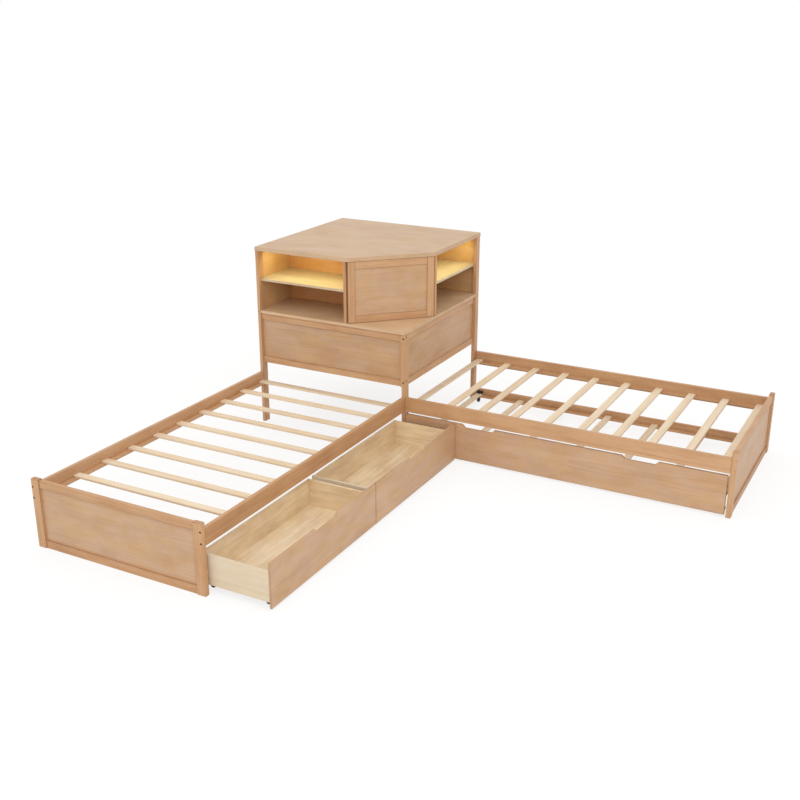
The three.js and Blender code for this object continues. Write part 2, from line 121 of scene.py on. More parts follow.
FLANGE_CORNER = 0.004
FLANGE_EASE = 0.0003

# Drawers
DRAWER_FLOOR_RISE = 0.007  # from the walls' bottom edges
WALL_EASE = 0.0012
FLOOR_EASE = 0.0008

# Hand cut-outs in the drawer and trundle fronts
CUTOUT_TOP = 0.206
CUTOUT_BOTTOM = 0.168
CUTOUT_DEPTH = 0.019
CUTOUT_EDGE = 0.006
TRUNDLE_CUTOUT_OFFSET = 0.483  # from the front's middle

# Trundle frame
TRUNDLE_RAIL = 0.020
TRUNDLE_SLAT_COUNT = 7
TRUNDLE_SLAT_WIDTH = 0.042
TRUNDLE_SLAT_TOP = 0.062
TRUNDLE_FIRST_SLAT = 0.022
TRUNDLE_LAST_SLAT = 0.025
TRUNDLE_RAIL_BOTTOM = 0.035
SLAT_HOUSING = 0.001  # how far the slats are let into the cleats

# Bolts in their counterbores
BORE = 0.011
BORE_DEPTH = 0.007
HOLE_LIP = 0.08  # the lip of a hole, left without painted shade, as a share of its depth
HOLE_SHADE = 2.2  # how dark the painted shade on a hole's wall and floor is, as a multiple of an edge's darkening
BOLT_FROM_RAIL_TOP = 0.011
BOLT_FROM_RAIL_BOTTOM = 0.018
BOLT_INSET = 0.008  # from a stile's outer edge
POST_BOLT_FROM_DECK = 0.022
POST_BOLT_FROM_FACE = 0.029
POST_BOLT_STEP = 0.008  # how much higher the bolts on the near post's right face are
POST_BOLT_INSET = 0.0175  # from the arris to them
BOLT_PROFILE = [  # distance from the axis, height above the bore's floor
    (0.0046, 0.0), (0.0046, 0.0021), (0.0040, 0.0031), (0.0028, 0.0035), (0.0026, 0.0035), (0.0023, 0.0012),
]

# Screws at the tall posts, in their countersinks
SCREW_BORE = 0.0065
SCREW_DEPTH = 0.0015
SCREW_INSET = 0.006  # from the post's outer edge
SCREW_FROM_TOP = 0.0235  # below the cabinet top
SCREW_HEAD = [(0.0031, 0.0), (0.0031, 0.0004), (0.0026, 0.0009), (0.0012, 0.0010), (0.0010, 0.0003)]

# Casters
WHEEL_SIDE = [  # one side's profile, in the wheel's radius and half its width
    (0.22, -0.86), (0.42, -0.90), (0.45, -0.62), (0.72, -0.62), (0.76, -0.92), (0.83, -1.0),
    (0.92, -0.95), (0.975, -0.82), (1.0, -0.62),
]
FORK_WALL = 0.0028
FORK_GAP = 0.0006
FORK_FOOT = 0.0068  # half the width of a cheek beside the axle
FORK_HALF = 0.011  # and under the plate
FORK_ROUND = 0.9  # the radius of a cheek's lower corners, as a share of FORK_FOOT
CHEEK_WAIST = 0.002
CHEEK_CORNER = 0.0008
CHEEK_EASE = 0.0006
CROWN_GAP = 0.0015  # from the wheel up to the crown between the cheeks
CROWN_LEAST = 0.001  # its least thickness
CROWN_EASE = 0.0004
PLATE_THICKNESS = 0.002
PLATE_HALF = (0.017, 0.013)
AXLE_REACH = 0.0008  # past the cheeks
AXLE_RADIUS = 0.0030
AXLE_BEVEL = (0.0008, 0.0007)  # how far its ends are drawn in, and how long the bevel is

# Black corner block on the trundle's first slat
BLOCK_SIZE = (0.042, 0.020, 0.017)
BLOCK_FROM_END = 0.025
BLOCK_EASE = 0.003

# Figure of the wood. A noise is (features in a metre along, across and through the log), detail
# and roughness, and a range is the noise's values between which its mark grows to its full strength.
GRAIN = {  # what a finish may change
    "Ring spacing": 0.0045,  # metres
    "Wander": 0.012,  # metres that the rings stray
    "Knots": 0.93,  # from 0 to 1: the higher, the fewer
}
KNOT_CELLS = (3.0, 5.5, 5.5)
KNOT_CORE = (0.055, 0.025)  # from its rim to its full depth, in cells
KNOT_SWIRL = (0.16, 0.03)  # the rings bend round it between these
KNOT_PUSH = 0.008  # metres that the rings move at a knot
RING_WAVES = ((0.9, 3.2, 3.2), 2.0, 0.5)
LATE_WOOD = (0.35, 0.86)  # the shares of a ring between which its wood darkens
LATE_END = (1.0, 0.92)  # and those between which it clears again
FAINT_RING = 0.35  # the weakest ring's strength
STREAKS = ((3.2, 38.0, 38.0), 3.0, 0.6)
STREAK_RANGE = (0.35, 0.75)
FIBRES = ((22.0, 900.0, 900.0), 2.0, 0.6)
BLOTCHES = ((4.5, 10.0, 10.0), 3.5, 0.6)
BLOTCH_RANGE = (0.3, 0.75)
HUES = ((7.0, 16.0, 16.0), 2.0, 0.5)
HUE_RANGE = (0.38, 0.66)

# Stain, painted shade on the edges, and surface
# the rounded edges darken, partly as stain soaking into the arrises and partly as painted shade in the
# grooves between boards
EDGE_STAIN_AND_SHADE = 0.22
FIBRE_STAIN = 0.22
YELLOWING = (1.0, 0.95, 0.78, 1.0)
FIBRE_ROUGHNESS = 0.16
RING_ROUGHNESS = -0.06
RING_HEIGHT = 0.6  # beside the fibres'
GRAIN_BUMP = (0.35, 0.0004)  # strength and distance
MOTTLE_RANGE = (0.2, 0.8)  # the noise's values between which a plain material's roughness grows

# Light
STRIP_GLOW = 3.0
WORLD_LIGHT = 0.93
BAY_LIGHT = (0.95, 1.0, 0.5)
BAY_POWER = {"left": 1.07, "right": 0.92}
BAY_TILT = math.radians(38)  # of each bay lamp, towards the back of its bay
BAY_DROP = 0.002  # from the strip to its lamp
KEY_PLACE = (2.1, -4.1, 4.6)
KEY_AIM = (0.0, 0.0, 0.5)
KEY_SIZE = 4.0
KEY_POWER = 90
FLOOR_REACH = 60.0
FLOOR_PAINT = (0.9, 0.9, 0.9, 1.0)
FLOOR_SEEN = (0.24, 0.24, 0.24, 1.0)  # its paint to the camera and in reflections, under FLOOR_LIFT
FLOOR_LIFT = 0.775  # its glow to them alone
FLOOR_ROUGHNESS = 0.9
WHITE = (1.0, 1.0, 1.0, 1.0)

draws = np.random.default_rng(SEED)
body_of = {
    node: body
    for body, nodes in frame["record"]["behaviour"]["bodies"].items()
    for node in nodes
}


class Place:
    """The axes of one assembly: an origin on the floor and a turn about Z."""

    def __init__(self, origin, turn=0.0):
        cos, sin = math.cos(turn), math.sin(turn)
        self.origin = np.array([origin[0], origin[1], 0.0])
        self.axes = np.array([[cos, sin, 0.0], [-sin, cos, 0.0], [0.0, 0.0, 1.0]])

    def box(self, node):
        """A node's lowest and highest corners in these axes."""
        mesh = frame["nodes"][node].data
        points = np.empty(len(mesh.vertices) * 3, np.float32)
        mesh.vertices.foreach_get("co", points)
        local = (points.reshape(-1, 3) - self.origin) @ self.axes.T
        return local.min(axis=0), local.max(axis=0)


class Solid:
    """A closed surface: its points, its faces and the normal of each face's corners.

    A point's wood coordinates are its distances along, across and through the log that
    the board was sawn from: (point - middle) times the grain's axes, plus the log's shift.
    Its finish is (rounded edge, which takes stain and painted shade, end grain, the board's own tone).
    """

    def __init__(self, points, faces, normals, edge, grain):
        self.points = points
        self.faces = faces
        self.normals = normals
        self.grain, self.middle, self.shift = grain
        summed = np.zeros_like(points)
        for face, corners in zip(faces, normals):
            summed[face] += corners
        length = np.linalg.norm(summed, axis=1)
        end = np.abs(summed @ self.grain[0]) / np.maximum(length, SLIVER)
        tone = np.full(len(points), draws.random())
        self.finish = np.stack([edge, end, tone], axis=1)

    def wood(self):
        """The points' wood coordinates."""
        return (self.points - self.middle) @ self.grain.T + self.shift

    def shade_seams(self, depth, place, axis=2, side=0):
        """Paints shade on the rounded edges where a board meets its neighbours, darker than their stain.

        Takes the edges at one end of the board (side -1 or 1) along an axis, or all of them.
        """
        reach = (self.points - self.middle) @ place.axes[axis] * side
        self.finish[reach > reach.max() - SEAM_REACH, 0] *= depth
        return self

    def flat_face_at(self, centre, direction):
        """The number of the flat face that faces along direction and holds centre."""
        for number, (face, corners) in enumerate(zip(self.faces, self.normals)):
            ring = self.points[face]
            flat = np.all(corners @ direction > SAME_WAY)
            level = np.all(np.abs((ring - centre) @ direction) < TOUCH)
            span = (ring.min(axis=0) - TOUCH <= centre) & (centre <= ring.max(axis=0) + TOUCH)
            if flat and level and np.all(span):
                return number
        raise ValueError(f"no flat face at {centre}")

    def drill(self, holes, diameter, depth, sides=BOLT_SIDES):
        """Blind round holes, each a centre on a flat face and the direction that it faces.

        A hole is a ring of points on the face and the same ring moved in, first by a lip and
        then by its depth; the face is filled again between its own edge and the rings.
        """
        groups = {}
        for centre, direction in holes:
            number = self.flat_face_at(centre, direction)
            groups.setdefault(number, []).append((np.asarray(centre), np.asarray(direction)))
        for number, group in groups.items():
            outer = np.array(self.faces[number])
            loops = [outer]
            for centre, direction in group:
                first, second = plane_axes(direction)
                angle = np.arange(sides) * math.tau / sides
                spoke = np.cos(angle)[:, None] * first + np.sin(angle)[:, None] * second
                rim = centre + spoke * diameter / 2
                start = len(self.points)
                knot_and_seam_shade = np.array([0.0, HOLE_LIP * depth, depth])[:, None, None] * direction
                self.points = np.concatenate([self.points, (rim - knot_and_seam_shade).reshape(-1, 3)])
                added = np.zeros((3 * sides, 3))
                added[:, 2] = self.finish[0, 2]
                # painted shade down the hole's wall and on its floor, past the lip
                added[sides:, 0] = HOLE_SHADE
                self.finish = np.concatenate([self.finish, added])
                here = start + np.arange(sides)
                there = start + (np.arange(sides) + 1) % sides
                lip = np.stack([here, there, there + sides, here + sides], axis=1)
                towards = -np.stack([spoke, np.roll(spoke, -1, axis=0)] * 2, axis=1)
                towards[:, [2, 3]] = towards[:, [3, 2]]
                self.faces += lip.tolist() + (lip + sides).tolist() + [(here + 2 * sides).tolist()]
                self.normals += list(towards) * 2 + [np.tile(direction, (sides, 1))]
                loops.append(here)
            direction = group[0][1]
            first, second = plane_axes(direction)
            numbers = np.concatenate(loops)
            flat = [
                [Vector((*spot, 0.0)) for spot in self.points[loop] @ np.array([first, second]).T]
                for loop in loops
            ]
            triangles = numbers[np.array(tessellate_polygon(flat))]
            corners = self.points[triangles]
            area = np.cross(corners[:, 1] - corners[:, 0], corners[:, 2] - corners[:, 0]) @ direction
            triangles, area = triangles[np.abs(area) > SLIVER], area[np.abs(area) > SLIVER]
            turned_over = area < 0
            triangles[turned_over] = triangles[turned_over][:, ::-1]
            self.faces[number] = triangles[0].tolist()
            self.faces += triangles[1:].tolist()
            self.normals[number] = np.tile(direction, (3, 1))
            self.normals += [np.tile(direction, (3, 1))] * (len(triangles) - 1)
        return self


def plane_axes(direction):
    """Two axes square to a direction, so that first x second = direction."""
    direction = np.asarray(direction, float)
    helper = np.eye(3)[np.argmin(np.abs(direction))]
    first = np.cross(helper, direction)
    first /= np.linalg.norm(first)
    return first, np.cross(direction, first)


def outline_of(corners, radii):
    """Straight sides with an arc at each corner, anticlockwise.

    A corner's arc starts r tan(turn / 2) before it, and its points are centre + r n(angle),
    where n turns from one side's outward normal to the next one's. Inner corners turn back.
    Gives the points, their outward normals and how far round its arc each one is.
    """
    corners = np.asarray(corners, float)
    radii = np.broadcast_to(np.asarray(radii, float), len(corners))[:, None]
    into = corners - np.roll(corners, 1, axis=0)
    into /= np.linalg.norm(into, axis=1, keepdims=True)
    out = np.roll(into, -1, axis=0)
    turn = np.arctan2(into[:, 0] * out[:, 1] - into[:, 1] * out[:, 0], (into * out).sum(axis=1))[:, None]
    start = corners - into * radii * np.tan(np.abs(turn) / 2)
    normal = np.stack([into[:, 1], -into[:, 0]], axis=1)
    share = np.linspace(0, 1, ARC_STEPS + 1)
    angle = np.arctan2(normal[:, 1], normal[:, 0])[:, None] + turn * share
    normals = np.stack([np.cos(angle), np.sin(angle)], axis=2)
    centre = start - np.sign(turn) * radii * normal
    points = centre[:, None] + (np.sign(turn) * radii)[:, :, None] * normals
    arc = np.where(turn > 0, np.sin(share * math.pi), 0.0)
    return points.reshape(-1, 2), normals.reshape(-1, 2), arc.reshape(-1)


def rectangle(low, high, radii):
    """The outline of a rectangle between two corners."""
    return outline_of([low, (high[0], low[1]), high, (low[0], high[1])], radii)


def carried(rings, starts, ends, edge, caps, grain, axes, origin):
    """Rings of points joined by strips of faces, closed by a cap at each end or by joining up.

    starts and ends hold the normals of each strip's first and second ring. caps holds the
    normals of the two end faces, or None where the last ring meets the first again.
    """
    count, sides = rings.shape[:2]
    ring = np.arange(count if caps is None else count - 1)[:, None] * sides
    here = np.arange(sides)
    there = (here + 1) % sides
    above = (ring + sides) % (count * sides)
    faces = np.stack([ring + here, ring + there, above + there, above + here], axis=2).reshape(-1, 4)
    normals = np.stack([starts, np.roll(starts, -1, axis=1), np.roll(ends, -1, axis=1), ends], axis=2)
    faces = faces.tolist()
    normals = list(normals.reshape(-1, 4, 3) @ axes)
    if caps is not None:
        last = (count - 1) * sides
        faces += [here[::-1].tolist(), (last + here).tolist()]
        normals += [np.tile(np.asarray(cap) @ axes, (sides, 1)) for cap in caps]
    if np.linalg.det(axes) < 0:
        faces = [face[::-1] for face in faces]
        normals = [corners[::-1] for corners in normals]
    points = rings.reshape(-1, 3) @ axes + origin
    return Solid(points, faces, normals, edge, grain)


def grain_order(size, along):
    """The axes along the grain, across it on the board's wider side, and through the board."""
    square = [axis for axis in range(3) if axis != along]
    return [along] + sorted(square, key=lambda axis: -size[axis])


def grain_through(rings, axes, origin, along, pith):
    """How a board lies in its log: the grain's axes, the board's middle and the log's shift.

    The log's pith runs beside the board at a drawn distance, so that the growth rings are
    arcs about it.
    """
    low, high = rings.reshape(-1, 3).min(axis=0), rings.reshape(-1, 3).max(axis=0)
    size = high - low
    order = grain_order(size, along)
    _, across, through = order
    side = 1 if draws.random() < 0.5 else -1
    beside = side * (size[through] / 2 + draws.uniform(*pith))
    from_end = draws.uniform(-LOG_REACH, LOG_REACH)
    off_centre = draws.uniform(-OFF_CENTRE, OFF_CENTRE) * size[across]
    shift = [from_end, off_centre, beside]
    return axes[order], (low + high) / 2 @ axes + origin, np.array(shift)


def slab(outline, low, high, place, order=(0, 1, 2), ease=EASE, along=0, pith=SAWN):
    """An outline carried from low to high, with both rims rounded.

    At the angle a from 0 to 90 degrees, a rim's ring is drawn in by ease (1 - sin a) and
    stands ease (1 - cos a) from its end face. The outline lies in the first two axes of order.
    """
    points, normals, arc = outline
    angle = np.linspace(0, math.pi / 2, ARC_STEPS + 1)
    there_and_back = np.concatenate([angle, angle[::-1]])
    drawn_in = ease * (1 - np.sin(there_and_back))
    rise = ease * (1 - np.cos(angle))
    height = np.concatenate([low + rise, (high - rise)[::-1]])
    facing = np.repeat([-1.0, 1.0], ARC_STEPS + 1)
    flat = points[None] - drawn_in[:, None, None] * normals[None]
    level = np.broadcast_to(height[:, None, None], flat.shape[:2] + (1,))
    rings = np.concatenate([flat, level], axis=2)
    sideways = np.sin(there_and_back)[:, None, None] * normals[None]
    upwards = (facing * np.cos(there_and_back))[:, None, None]
    bent = np.concatenate([sideways, np.broadcast_to(upwards, level.shape)], axis=2)
    rim = np.sin(2 * there_and_back)[:, None]
    edge = np.maximum(rim, arc * np.sin(there_and_back)[:, None]).reshape(-1)
    axes = place.axes[list(order)]
    grain = grain_through(rings, axes, place.origin, along, pith)
    caps = ((0.0, 0.0, -1.0), (0.0, 0.0, 1.0))
    return carried(rings, bent[:-1], bent[1:], edge, caps, grain, axes, place.origin)


def board(low, high, along, place, ease=EASE, pith=SAWN):
    """A board between two corners, with its grain along one axis and all its edges eased."""
    low, high = np.asarray(low, float), np.asarray(high, float)
    order = grain_order(high - low, along)
    low, high = low[order], high[order]
    outline = rectangle(low[:2], high[:2], ease * CORNER_SHARE)
    return slab(outline, low[2], high[2], place, order, ease, 0, pith)


def turned(profile, centre, axis, sides=32, smooth=math.cos(math.radians(40))):
    """A profile of (distance from the axis, height along it) carried round the axis.

    Neighbouring strips share a normal where their own normals differ little. A profile that
    ends where it starts makes a ring with a hole, and any other is closed by flat end faces.
    """
    profile = np.asarray(profile, float)
    whole = np.allclose(profile[0], profile[-1])
    if whole:
        profile = profile[:-1]
    step = (np.roll(profile, -1, axis=0) - profile)[:None if whole else -1]
    normal = np.stack([step[:, 1], -step[:, 0]], axis=1)
    normal /= np.linalg.norm(normal, axis=1, keepdims=True)
    before, after = np.roll(normal, 1, axis=0), np.roll(normal, -1, axis=0)
    start = np.where((before * normal).sum(axis=1, keepdims=True) > smooth, before + normal, normal)
    end = np.where((after * normal).sum(axis=1, keepdims=True) > smooth, after + normal, normal)
    if not whole:
        start[0], end[-1] = normal[0], normal[-1]
    start /= np.linalg.norm(start, axis=1, keepdims=True)
    end /= np.linalg.norm(end, axis=1, keepdims=True)
    angle = np.arange(sides) * math.tau / sides
    spoke = np.stack([np.cos(angle), np.sin(angle), np.zeros(sides)], axis=1)
    up = np.array([0.0, 0.0, 1.0])
    rings = profile[:, 0, None, None] * spoke + profile[:, 1, None, None] * up
    starts = start[:, 0, None, None] * spoke + start[:, 1, None, None] * up
    ends = end[:, 0, None, None] * spoke + end[:, 1, None, None] * up
    first, second = plane_axes(axis)
    axes = np.array([first, second, np.asarray(axis, float)])
    caps = None if whole else (-up, up)
    grain = (axes[::-1], np.asarray(centre, float), np.zeros(3))
    edge = np.zeros(len(profile) * sides)
    return carried(rings, starts, ends, edge, caps, grain, axes, np.asarray(centre, float))


def in_scene(name, data):
    """A new object that holds the data."""
    made = bpy.data.objects.new(name, data)
    bpy.context.scene.collection.objects.link(made)
    return made


def piece(name, solids, slot, *nodes, finish=None):
    """One object made of the solids. It rides with the nodes that it stands for."""
    counts = np.cumsum([0] + [len(solid.points) for solid in solids])
    points = np.concatenate([solid.points for solid in solids])
    faces = [
        [start + number for number in face]
        for start, solid in zip(counts, solids)
        for face in solid.faces
    ]
    mesh = bpy.data.meshes.new(name)
    mesh.from_pydata(points.tolist(), [], faces)
    mesh.polygons.foreach_set("use_smooth", [True] * len(faces))
    wood = np.concatenate([solid.wood() for solid in solids])
    edge_end_tone = np.concatenate([solid.finish for solid in solids])
    for title, values in (("wood", wood), ("finish", edge_end_tone)):
        layer = mesh.attributes.new(title, "FLOAT_VECTOR", "POINT")
        layer.data.foreach_set("vector", values.astype(np.float32).reshape(-1))
    corners = np.concatenate([corner for solid in solids for corner in solid.normals])
    mesh.normals_split_custom_set(corners.tolist())
    mesh.materials.append(finishes[finish or slot])
    made = in_scene(name, mesh)
    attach(made, body_of[nodes[0]])
    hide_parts(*nodes)
    return made


def box_board(node, along, place, slot, finish=None, **cut):
    """A node's whole box as one board."""
    piece(node, [board(*place.box(node), along, place, **cut)], slot, node, finish=finish)


# Shader nodes

def put(tree, kind, *inputs, **settings):
    """Adds a node. Inputs are (name or number, value or another node's output)."""
    node = tree.nodes.new(kind)
    for name, value in settings.items():
        setattr(node, name, value)
    for name, value in inputs:
        if isinstance(value, bpy.types.NodeSocket):
            tree.links.new(value, node.inputs[name])
        else:
            node.inputs[name].default_value = value
    return node


def reckon(tree, operation, *values):
    """The result of a Math node. MULTIPLY_ADD gives the first value times the second plus the third."""
    return put(tree, "ShaderNodeMath", *enumerate(values), operation=operation).outputs[0]


def ramp(tree, value, low, high, to_low=0.0, to_high=1.0):
    """A value's smooth climb from to_low at low to to_high at high."""
    node = put(
        tree, "ShaderNodeMapRange", ("Value", value), ("From Min", low), ("From Max", high),
        ("To Min", to_low), ("To Max", to_high), interpolation_type="SMOOTHSTEP",
    )
    return node.outputs["Result"]


def blended(tree, share, first, second, how="MIX"):
    """Two colours mixed by a share."""
    node = put(tree, "ShaderNodeMix", (0, share), (6, first), (7, second), data_type="RGBA", blend_type=how)
    return node.outputs[2]


def on_vector(tree, operation, vector, other):
    """A Vector Math node's result with another vector, or with a number as its scale."""
    node = put(tree, "ShaderNodeVectorMath", (0, vector), operation=operation)
    socket = node.inputs["Scale" if operation == "SCALE" else 1]
    if isinstance(other, bpy.types.NodeSocket):
        tree.links.new(other, socket)
    else:
        socket.default_value = other
    return node.outputs[0]


def noise(tree, vector, features, detail, roughness=0.5):
    """A noise with so many features in a metre along each axis."""
    spread = on_vector(tree, "MULTIPLY", vector, features)
    return put(
        tree, "ShaderNodeTexNoise", ("Vector", spread), ("Scale", 1.0), ("Detail", detail),
        ("Roughness", roughness), noise_dimensions="3D",
    ).outputs


def new_group(name, inputs, outputs):
    """An empty node group. Each socket has its kind, or a number that a Float starts at."""
    group = bpy.data.node_groups.new(name, "ShaderNodeTree")
    for title, value in inputs.items():
        kind = value if isinstance(value, str) else "Float"
        socket = group.interface.new_socket(title, in_out="INPUT", socket_type=f"NodeSocket{kind}")
        if kind == "Float":
            socket.default_value = value
    for title, kind in outputs.items():
        group.interface.new_socket(title, in_out="OUTPUT", socket_type=f"NodeSocket{kind}")
    return group, group.nodes.new("NodeGroupInput").outputs, group.nodes.new("NodeGroupOutput").inputs


def pine_figure():
    """Masks of solid pine, read from the wood coordinates: growth rings, streaks, fibres,
    blotches of stain, and a rare knot. The rings are the distance from the log's pith."""
    masks = dict.fromkeys(("Rings", "Streaks", "Fibres", "Blotches", "Hue", "Knot"), "Float")
    group, given, result = new_group("pine figure", {"Wood": "Vector", **GRAIN}, masks)
    wood = given["Wood"]

    cells = put(
        group, "ShaderNodeTexVoronoi", ("Vector", on_vector(group, "MULTIPLY", wood, KNOT_CELLS)),
        ("Scale", 1.0), voronoi_dimensions="3D", feature="F1",
    ).outputs
    chosen = reckon(group, "GREATER_THAN", cells["Color"], given["Knots"])
    knot = reckon(group, "MULTIPLY", ramp(group, cells["Distance"], *KNOT_CORE), chosen)
    bulge = reckon(group, "MULTIPLY", ramp(group, cells["Distance"], *KNOT_SWIRL), chosen)

    wave = on_vector(group, "SUBTRACT", noise(group, wood, *RING_WAVES)["Color"], (0.5, 0.5, 0.5))
    wavy = on_vector(group, "ADD", wood, on_vector(group, "SCALE", wave, given["Wander"]))
    beside = on_vector(group, "MULTIPLY", wavy, (0.0, 1.0, 1.0))
    from_pith = put(group, "ShaderNodeVectorMath", (0, beside), operation="LENGTH").outputs["Value"]
    pushed = reckon(group, "MULTIPLY_ADD", bulge, KNOT_PUSH, from_pith)
    years = reckon(group, "DIVIDE", pushed, given["Ring spacing"])
    season = reckon(group, "FRACT", years)
    late = reckon(group, "MULTIPLY", ramp(group, season, *LATE_WOOD), ramp(group, season, *LATE_END))
    year = put(group, "ShaderNodeTexWhiteNoise", ("W", reckon(group, "FLOOR", years)),
               noise_dimensions="1D").outputs["Value"]
    rings = reckon(group, "MULTIPLY", late, ramp(group, year, 0.0, 1.0, FAINT_RING, 1.0))

    made = {
        "Rings": rings,
        "Streaks": noise(group, wood, *STREAKS)["Fac"],
        "Fibres": noise(group, wood, *FIBRES)["Fac"],
        "Blotches": noise(group, wood, *BLOTCHES)["Fac"],
        "Hue": ramp(group, noise(group, wood, *HUES)["Fac"], *HUE_RANGE),
        "Knot": knot,
    }
    for title, value in made.items():
        group.links.new(value, result[title])
    return group


def pine_stain(figure):
    """The colour, roughness and height of stained pine, from its figure and its finish.

    The wood darkens by the sum of each mark times its share, from the early wood's colour to
    the late wood's; the rounded edges darken with stain and with painted shade. An edge mask past 1, painted
    shade in seams and holes, goes on towards the knot wood's.
    """
    shares = {
        "Ring share": 0.5, "Streak share": 0.4, "Blotch share": 0.2, "Tone share": 0.12,
        "Hue share": 0.3, "End share": 0.3, "Gloss": 0.42,
    }
    colours = dict.fromkeys(("Early wood", "Late wood", "Knot wood"), "Color")
    group, given, result = new_group(
        "pine stain", {**colours, **GRAIN, **shares},
        {"Color": "Color", "Roughness": "Float", "Height": "Float"},
    )
    wood = put(group, "ShaderNodeAttribute", attribute_name="wood").outputs["Vector"]
    finish = put(group, "ShaderNodeAttribute", attribute_name="finish").outputs["Vector"]
    edge, end, tone = put(group, "ShaderNodeSeparateXYZ", (0, finish)).outputs
    grain = [(title, given[title]) for title in GRAIN]
    masks = put(group, "ShaderNodeGroup", ("Wood", wood), *grain, node_tree=figure).outputs

    # rounded edges: stain in the arrises and painted shade in the grooves between boards
    dark = reckon(group, "MULTIPLY", edge, EDGE_STAIN_AND_SHADE)
    marks = [
        (masks["Rings"], given["Ring share"]),
        (ramp(group, masks["Streaks"], *STREAK_RANGE), given["Streak share"]),
        (ramp(group, masks["Blotches"], *BLOTCH_RANGE), given["Blotch share"]),
        (reckon(group, "SUBTRACT", masks["Fibres"], 0.5), FIBRE_STAIN),
        (reckon(group, "SUBTRACT", tone, 0.5), given["Tone share"]),
        (end, given["End share"]),
    ]
    for mark, share in marks:
        dark = reckon(group, "MULTIPLY_ADD", mark, share, dark)
    dark = reckon(group, "MINIMUM", reckon(group, "MAXIMUM", dark, 0.0), 1.0)
    colour = blended(group, dark, given["Early wood"], given["Late wood"])
    yellowed = reckon(group, "MULTIPLY", masks["Hue"], given["Hue share"])
    colour = blended(group, yellowed, colour, YELLOWING, "MULTIPLY")
    # knots, and painted shade in seams and holes where the edge mask passes 1
    knot_and_seam_shade = reckon(group, "MAXIMUM", masks["Knot"], reckon(group, "SUBTRACT", edge, 1.0))
    group.links.new(blended(group, knot_and_seam_shade, colour, given["Knot wood"]), result["Color"])

    rough = reckon(group, "MULTIPLY_ADD", masks["Fibres"], FIBRE_ROUGHNESS, given["Gloss"])
    rough = reckon(group, "MULTIPLY_ADD", masks["Rings"], RING_ROUGHNESS, rough)
    group.links.new(rough, result["Roughness"])
    height = reckon(group, "MULTIPLY_ADD", masks["Rings"], RING_HEIGHT, masks["Fibres"])
    group.links.new(height, result["Height"])
    return group


def linear(red, green, blue):
    """A colour named by its 0 to 255 screen values, as the shader's linear numbers."""
    screen = np.array([red, green, blue]) / 255
    value = np.where(screen <= 0.04045, screen / 12.92, ((screen + 0.055) / 1.055) ** 2.4)
    return (*value.tolist(), 1.0)


def material_with(name):
    """A material with its tree emptied but for a Principled shader and the output."""
    material = bpy.data.materials.new(name)
    material.use_nodes = True
    tree = material.node_tree
    tree.nodes.clear()
    shader = tree.nodes.new("ShaderNodeBsdfPrincipled")
    output = tree.nodes.new("ShaderNodeOutputMaterial")
    tree.links.new(shader.outputs[0], output.inputs["Surface"])
    return material, tree, shader


def pine(name, stain, early, late, knot, **values):
    """A pine finish: the stain's colours and the strength of each mark in the wood."""
    material, tree, shader = material_with(name)
    inputs = [("Early wood", early), ("Late wood", late), ("Knot wood", knot)]
    inputs += [(title.replace("_", " "), value) for title, value in values.items()]
    wood = put(tree, "ShaderNodeGroup", *inputs, node_tree=stain)
    bump = put(tree, "ShaderNodeBump", ("Height", wood.outputs["Height"]), ("Strength", GRAIN_BUMP[0]),
               ("Distance", GRAIN_BUMP[1]))
    tree.links.new(wood.outputs["Color"], shader.inputs["Base Color"])
    tree.links.new(wood.outputs["Roughness"], shader.inputs["Roughness"])
    tree.links.new(bump.outputs["Normal"], shader.inputs["Normal"])
    return material


def mottled(name, features, detail, first, second, roughness=None):
    """A material whose colour, and roughness where given, wander between two by a noise."""
    material, tree, shader = material_with(name)
    place = put(tree, "ShaderNodeTexCoord").outputs["Object"]
    mask = noise(tree, place, features, detail)["Fac"]
    tree.links.new(blended(tree, mask, linear(*first), linear(*second)), shader.inputs["Base Color"])
    if roughness:
        tree.links.new(ramp(tree, mask, *MOTTLE_RANGE, *roughness), shader.inputs["Roughness"])
    return material, tree, shader, mask


